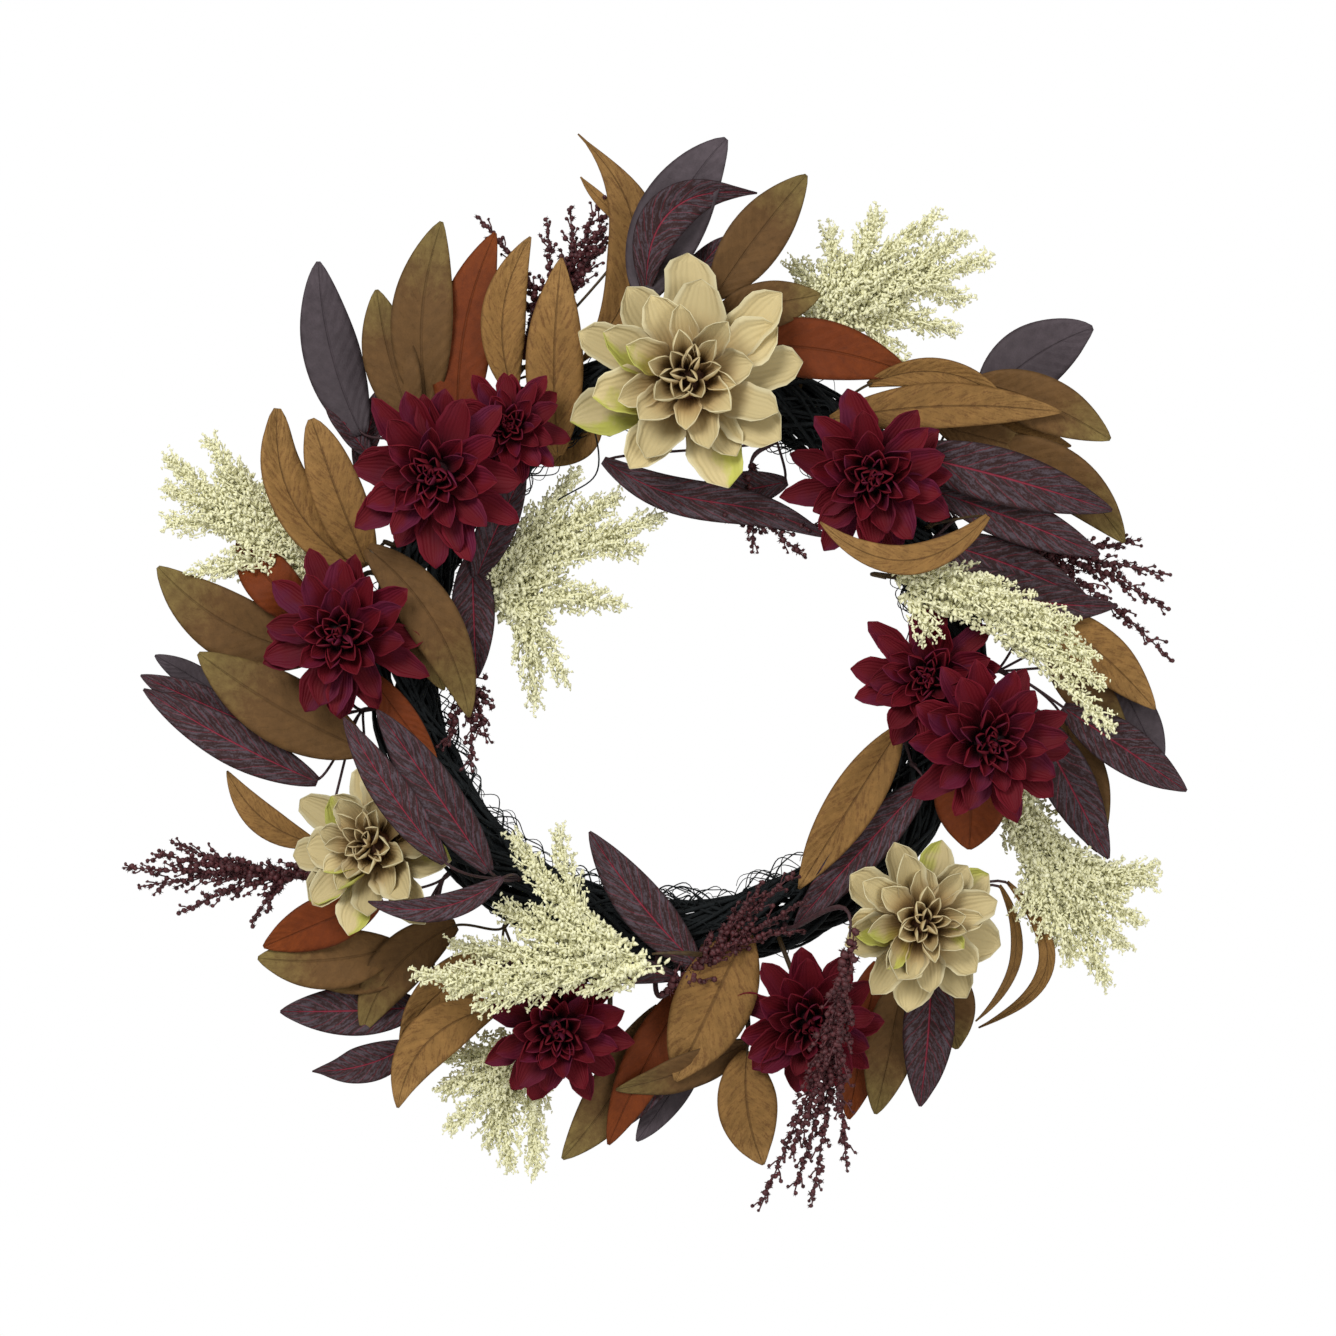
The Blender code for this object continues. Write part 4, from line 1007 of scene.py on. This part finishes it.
# %% The spray table
# each spray: clock angle of its foot, how far out it stands, and its branches' headings and lengths
GOLDEN = math.radians(137.5)
SPRAYS = {
    "berry_pick_top_left": (-29, 34, ((36, 120), (27, 108), (12, 86), (-14, 88), (30, 114), (19, 96),
                                      (-38, 58), (33, 92))),
    "berry_pick_right": (69, 30, ((100, 108), (122, 126), (89, 88), (110, 112))),
    "berry_pick_lower_left": (-121, 80, ((-88, 113), (-105, 84), (-126, 50), (-78, 88), (-94, 104),
                                         (-83, 98))),
    "berry_pick_top": (20, -38, ((178, 50), (-122, 46), (150, 62), (-100, 70), (130, 56))),
    "plume_top_right": (20, 24, ((46, 120), (63, 130), (18, 80), (80, 98), (31, 100), (55, 124), (71, 108),
                                 (4, 56), (94, 66))),
    "plume_left": (-77, 36, ((-55, 126), (-44, 112), (-71, 108), (-86, 88), (-62, 116), (-50, 96))),
    "plume_upper_left_inner": (-82, -42, ((32, 108), (58, 125), (79, 84), (118, 58), (46, 112),
                                          (142, 54), (64, 104))),
    "plume_lower_left": (-167, 66, ((-95, 92), (-122, 94), (-158, 80), (-108, 90), (-136, 84), (-148, 86))),
    "plume_lower_right": (110, 36, ((152, 134), (136, 116), (124, 108), (163, 92), (143, 122), (131, 98),
                                    (169, 80), (120, 104), (157, 112))),
    "plume_bottom": (-177, 6, ((-95, 138), (-107, 108), (-52, 106), (-40, 90), (-88, 118), (-74, 92),
                               (-100, 120))),
    "plume_right": (67, -37, ((104, 112), (116, 140), (123, 156), (111, 128), (119, 114), (138, 44))),
    "berry_pick_bottom": (147, 18, ((-172, 156), (-162, 165), (-179, 134), (-168, 150), (-165, 132))),
    "berry_pick_bottom_inner": (-178, 32, ((46, 100), (56, 96), (40, 84), (64, 86))),
    "berry_pick_left": (-93, -22, ((118, 34), (162, 58), (178, 44), (146, 48))),
}
SPRAY_LEAN = {"plume_right": 10}
SPRAY_HALF = {"plume": 5.25, "berry": 3.0}
ASIDE = {"plume": 7.0, "berry": 2.0}
BRANCH_STEPS = 14
FIRST_TWIG = 0.07
TWIG_PLAN = {
    "plume": {"step": 1.6, "long": 28.0, "short": 6.0, "angle": 42.0, "bow": 11.0},
    "berry": {"step": 4.6, "long": 17.0, "short": 5.0, "angle": 42.0, "bow": 8.0},
}


def in_turning_room(point):
    """Whether a point lies where the outer petals of a head sweep as it turns."""
    for to_local, reach, high in TURNING_ROOMS:
        spot = to_local @ point
        if math.hypot(spot.x, spot.y) < reach and BEHIND < spot.z < high:
            return True
    return False


def branch_paths(start, knee, tip, plan, chance):
    """Main line of a branch and its side twigs, as (points, sizes)."""
    main = bezier(start, knee, (knee + tip) / 2.0, tip, BRANCH_STEPS)
    length = sum((main[step + 1] - main[step]).length for step in range(BRANCH_STEPS))
    paths = [(main, [1.0 - 0.45 * step / BRANCH_STEPS for step in range(BRANCH_STEPS + 1)])]
    count = int(length * (1.0 - FIRST_TWIG) / plan["step"])
    turn = chance.uniform(0.0, 6.0)
    for number in range(count):
        share = FIRST_TWIG + 0.92 * number / count
        at = share * BRANCH_STEPS
        step = min(int(at), BRANCH_STEPS - 1)
        point = main[step].lerp(main[step + 1], at - step)
        tangent = (main[step + 1] - main[step]).normalized()
        turn += GOLDEN
        aside = tangent.orthogonal().normalized()
        aside = Matrix.Rotation(turn, 3, tangent) @ aside
        reach = plan["short"] + (plan["long"] - plan["short"]) * (1.0 - share) ** 0.65
        reach *= chance.uniform(0.65, 1.15) * min(1.0, 0.7 + 3.0 * share)
        lean = math.radians(plan["angle"] + chance.uniform(-10.0, 10.0))
        first = point + (tangent * math.cos(lean) + aside * math.sin(lean)) * (0.5 * reach)
        last = first + (tangent * math.cos(0.6 * lean) + aside * math.sin(0.6 * lean)) * (0.5 * reach)
        size = 1.0 - 0.35 * share
        if in_turning_room(first) or in_turning_room(last):
            continue
        paths.append(([point, first, last], [size, 0.9 * size, 0.7 * size]))
    return paths


def spray_paths(node, clock, out, branches, chance):
    """All twigs of one spray, from the stem in the vines to the tips."""
    kind = node.split("_")[0]
    plan = TWIG_PLAN[kind]
    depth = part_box(node)[0].y / MM + SPRAY_HALF[kind] + SPRAY_LEAN.get(node, 0)
    base = place(clock, out, depth)
    main = heading(branches[0][0])
    across = heading(branches[0][0] + 90.0)
    paths = []
    for index, (direction, length) in enumerate(branches):
        tip = base + heading(direction) * length
        tip.y -= SPRAY_LEAN.get(node, 0) + chance.uniform(-plan["bow"], plan["bow"]) * 0.6
        start = base + main * (length * 0.07 * index + 1.0) + across * (ASIDE[kind] * (index % 3 - 1))
        knee = start + main * (0.3 * (tip - start).length)
        knee.y += chance.uniform(-plan["bow"], plan["bow"]) * 0.5
        paths += branch_paths(start, knee, tip, plan, chance)
    return base, main, paths


# %% Plumes and berry sprays
GROWTH = {
    "plume": {"Shape": CRUMB, "Spacing": 0.95 * MM, "Scatter": 3.2 * MM, "Size": 1.8 * MM,
              "Twig_radius": 0.5 * MM, "Finish": PLUME},
    "berry": {"Shape": STAR_BERRY, "Spacing": 3.6 * MM, "Scatter": 1.6 * MM, "Size": 2.2 * MM,
              "Twig_radius": 0.45 * MM, "Finish": BERRY},
}
for node, (clock, out, branches) in SPRAYS.items():
    kind = node.split("_")[0]
    chance = random.Random(node)
    base, main, paths = spray_paths(node, clock, out, branches, chance)
    piece = grown(f"{node}_{'crumbs' if kind == 'plume' else 'berries'}", paths, Seed=len(node),
                  **GROWTH[kind])
    settle(piece, "wreath", kind, node)
    start, outward = socket_of(node)
    mouth = start + outward * STEM_OUT
    pull = (base - mouth).length * 0.45
    line = [start] + bezier(mouth, mouth + outward * pull, base - main * pull, base + main * 6.0, 12)
    stalk = solid_piece(f"{node}_stalk", [tube(line, [STEM_THICK] * 10 + [1.2, 1.0, 0.8, 0.6], 8)],
                        PLUM_STEM if kind == "berry" else STEM)
    settle(stalk, "wreath", "stem", node)
    print(node, "has", len(paths), "twigs and", len(piece.data.polygons), "faces")

# %% [markdown]
# ## The vine ring
# The ring is a bundle of long vines wound round each other, with wiry ends that spring out of its inner
# edge. Each vine is a bar that runs right round the ring while it winds round the bundle, at its own speed
# and with its own wander. They part at the top, where the hanger swings. The back is pressed flat.

# %% Vines
VINES = random.Random(5)
VINE_STEPS = 200
VINE_SIDES = 6
KNOTS = 0.12
NOTCH_HALF = 15.0
NOTCH_EASE = 14.0
NOTCH_DROP = 9.5


def vine(radius, thick, winds):
    """One vine, right round the ring."""
    phase = VINES.uniform(0.0, 2.0 * math.pi)
    wander = [(VINES.uniform(0.6, 1.4), VINES.randint(2, 9), VINES.uniform(0.0, 6.0)) for _ in range(3)]
    points = []
    for step in range(VINE_STEPS):
        clock = 360.0 * step / VINE_STEPS
        angle = math.radians(clock)
        turn = phase + winds * angle + 0.25 * math.sin(3.0 * angle + phase)
        reach = radius + sum(size * math.sin(waves * angle + shift) for size, waves, shift in wander)
        out = reach * math.sin(turn)
        depth = min(TUBE_Y - reach * math.cos(turn), RING_BACK - thick)
        across = abs((RING_RADIUS + out) * math.sin(angle))
        if across < NOTCH_HALF + NOTCH_EASE and math.cos(angle) > 0.0:
            part = min(1.0, (NOTCH_HALF + NOTCH_EASE - across) / NOTCH_EASE)
            out = min(out, out * (1.0 - part) + (-NOTCH_DROP - thick) * part)
        points.append(place(clock, out, depth))
    return closed_bar(points, thick)


def closed_bar(points, thick):
    """Knotty bar through points that come back to their start."""
    rings = []
    for index, point in enumerate(points):
        tangent = (points[(index + 1) % len(points)] - points[index - 1]).normalized()
        side = tangent.cross(FRONT).normalized()
        knots = [thick * (1.0 + KNOTS * math.sin(1.7 * index + corner)) for corner in range(VINE_SIDES)]
        rings.append(circle(point, side, tangent.cross(side), knots))
    return skin(rings, closed=True)


bundle = [vine(VINES.uniform(0.82, 0.95) * TUBE, VINES.uniform(0.7, 1.5), VINES.choice((-5, -3, 2, 3, 4, 7)))
          for _ in range(54)]
bundle += [vine(VINES.uniform(0.52, 0.72) * TUBE, VINES.uniform(1.8, 3.0), VINES.choice((-4, 3, 4)))
           for _ in range(18)]
settle(solid_piece("vine_ring_vines", bundle, VINE), "wreath", "vine", "vine_ring")
print("vines:", len(bundle))


# %% Wiry ends
END_STEPS = 12
END_CURL = 2.6


def wiry_end(clock, turn, length, thick):
    """Thin curly end that springs out of the bundle."""
    outward = heading(clock) * math.sin(turn) + FRONT * math.cos(turn)
    start = place(clock, 0.8 * TUBE * math.sin(turn), TUBE_Y - 0.8 * TUBE * math.cos(turn))
    drift = heading(clock + 90.0) * VINES.choice((-1.0, 1.0))
    points = []
    phase = VINES.uniform(0.0, 6.0)
    for step in range(END_STEPS + 1):
        t = step / END_STEPS
        swing = heading(clock) * math.sin(7.0 * t + phase) + FRONT * math.cos(6.0 * t + phase)
        points.append(start + outward * (length * 0.55 * math.sin(math.pi * 0.8 * t)) + drift * (length * t)
                      + swing * (END_CURL * t))
        points[-1].y = min(points[-1].y, RING_BACK - thick)
    return tube(points, [thick * (1.0 - 0.5 * step / END_STEPS) for step in range(END_STEPS + 1)], 5)


def clear_of_hanger(clock):
    """Whether a clock angle is away from the hanger's gap."""
    return abs((clock + 180.0) % 360.0 - 180.0) > 12.0


ends = []
for number in range(520):
    clock = VINES.uniform(0.0, 360.0)
    if not clear_of_hanger(clock):
        continue
    inner = number % 3 != 0
    turn = VINES.uniform(-2.1, -0.8) if inner else VINES.uniform(-1.0, 1.6)
    length = VINES.uniform(9.0, 26.0) if inner else VINES.uniform(8.0, 16.0)
    ends.append(wiry_end(clock, turn, length, VINES.uniform(0.3, 0.6)))
# one long tendril hangs loose at the upper left of the opening
tendril = bezier(place(-20, -20, RING_FRONT), place(-22, -50, RING_FRONT - 6),
                 place(-26, -44, RING_FRONT - 10), place(-37, -44, RING_FRONT - 8), 14)
ends.append(tube(tendril, [0.5] * len(tendril), 6))
settle(solid_piece("vine_ring_tangle", ends, VINE), "wreath", "vine", "vine_ring")
print("wiry ends:", len(ends))

# %% [markdown]
# ## Floor, light and camera
# The wreath hangs in the air, with a plain pale floor well below it. The light is a white room with one
# large soft lamp from the upper left and a weaker one from the right, so petals keep soft shadows. The room
# looks brighter to the camera than to the wreath. The camera looks straight at the front.

# %% Floor
FLOOR_Z = -1.2
FLOOR_RADIUS = 1.5
work = bmesh.new()
bmesh.ops.create_circle(work, cap_ends=True, radius=FLOOR_RADIUS, segments=96)
floor_mesh = mesh_of("floor", work)
floor_mesh.transform(Matrix.Translation((0.0, 0.0, FLOOR_Z)))
floor_mesh.materials.append(rough_material("pale_floor_paint", "#EDEDEB", "#F2F2F0", 8.0, 0.9, 0.0001))
floor = new_object("floor", floor_mesh)
print("floor at", FLOOR_Z)

# %% Light
world = bpy.data.worlds.new("white_room")
world.use_nodes = True
bpy.context.scene.world = world
room = world.node_tree
sky = room.nodes["Background"]
path = add(room, "ShaderNodeLightPath")
strength = add(room, "ShaderNodeMapRange", {"Value": path.outputs["Is Camera Ray"], 3: 0.45, 4: 1.0})
fill(room, sky, {"Strength": strength, "Color": (1.0, 1.0, 1.0, 1.0)})


AIM_Y = -0.04


def lamp(name, where, size, power):
    """Large soft lamp that points at the wreath's centre."""
    data = bpy.data.lights.new(name, "AREA")
    data.size = size
    data.energy = power
    made = new_object(name, data)
    made.location = where
    aim = Vector((0.0, AIM_Y, RING_Z * MM)) - Vector(where)
    made.rotation_euler = aim.to_track_quat("-Z", "Y").to_euler()


lamp("key", (-0.9, -1.9, 0.9), 0.9, 37.0)
lamp("fill", (1.3, -1.7, -0.1), 1.2, 14.0)
bpy.context.scene.view_settings.view_transform = "Standard"
print("lamps: key and fill")

# %% Camera
CAMERA_DISTANCE = 2.4
FRAME_WIDTH = 0.751
LEAF_PLANE = -0.045
AIM_X = -0.0056
AIM_Z = RING_Z * MM - 0.0045
camera_data = bpy.data.cameras.new("camera")
camera_data.sensor_width = 36.0
camera_data.lens = camera_data.sensor_width * CAMERA_DISTANCE / FRAME_WIDTH
camera = new_object("camera", camera_data)
camera.location = (AIM_X, LEAF_PLANE - CAMERA_DISTANCE, AIM_Z)
camera.rotation_euler = (math.radians(90.0), 0.0, 0.0)
bpy.context.scene.camera = camera
print(f"lens {camera_data.lens:.0f} mm")
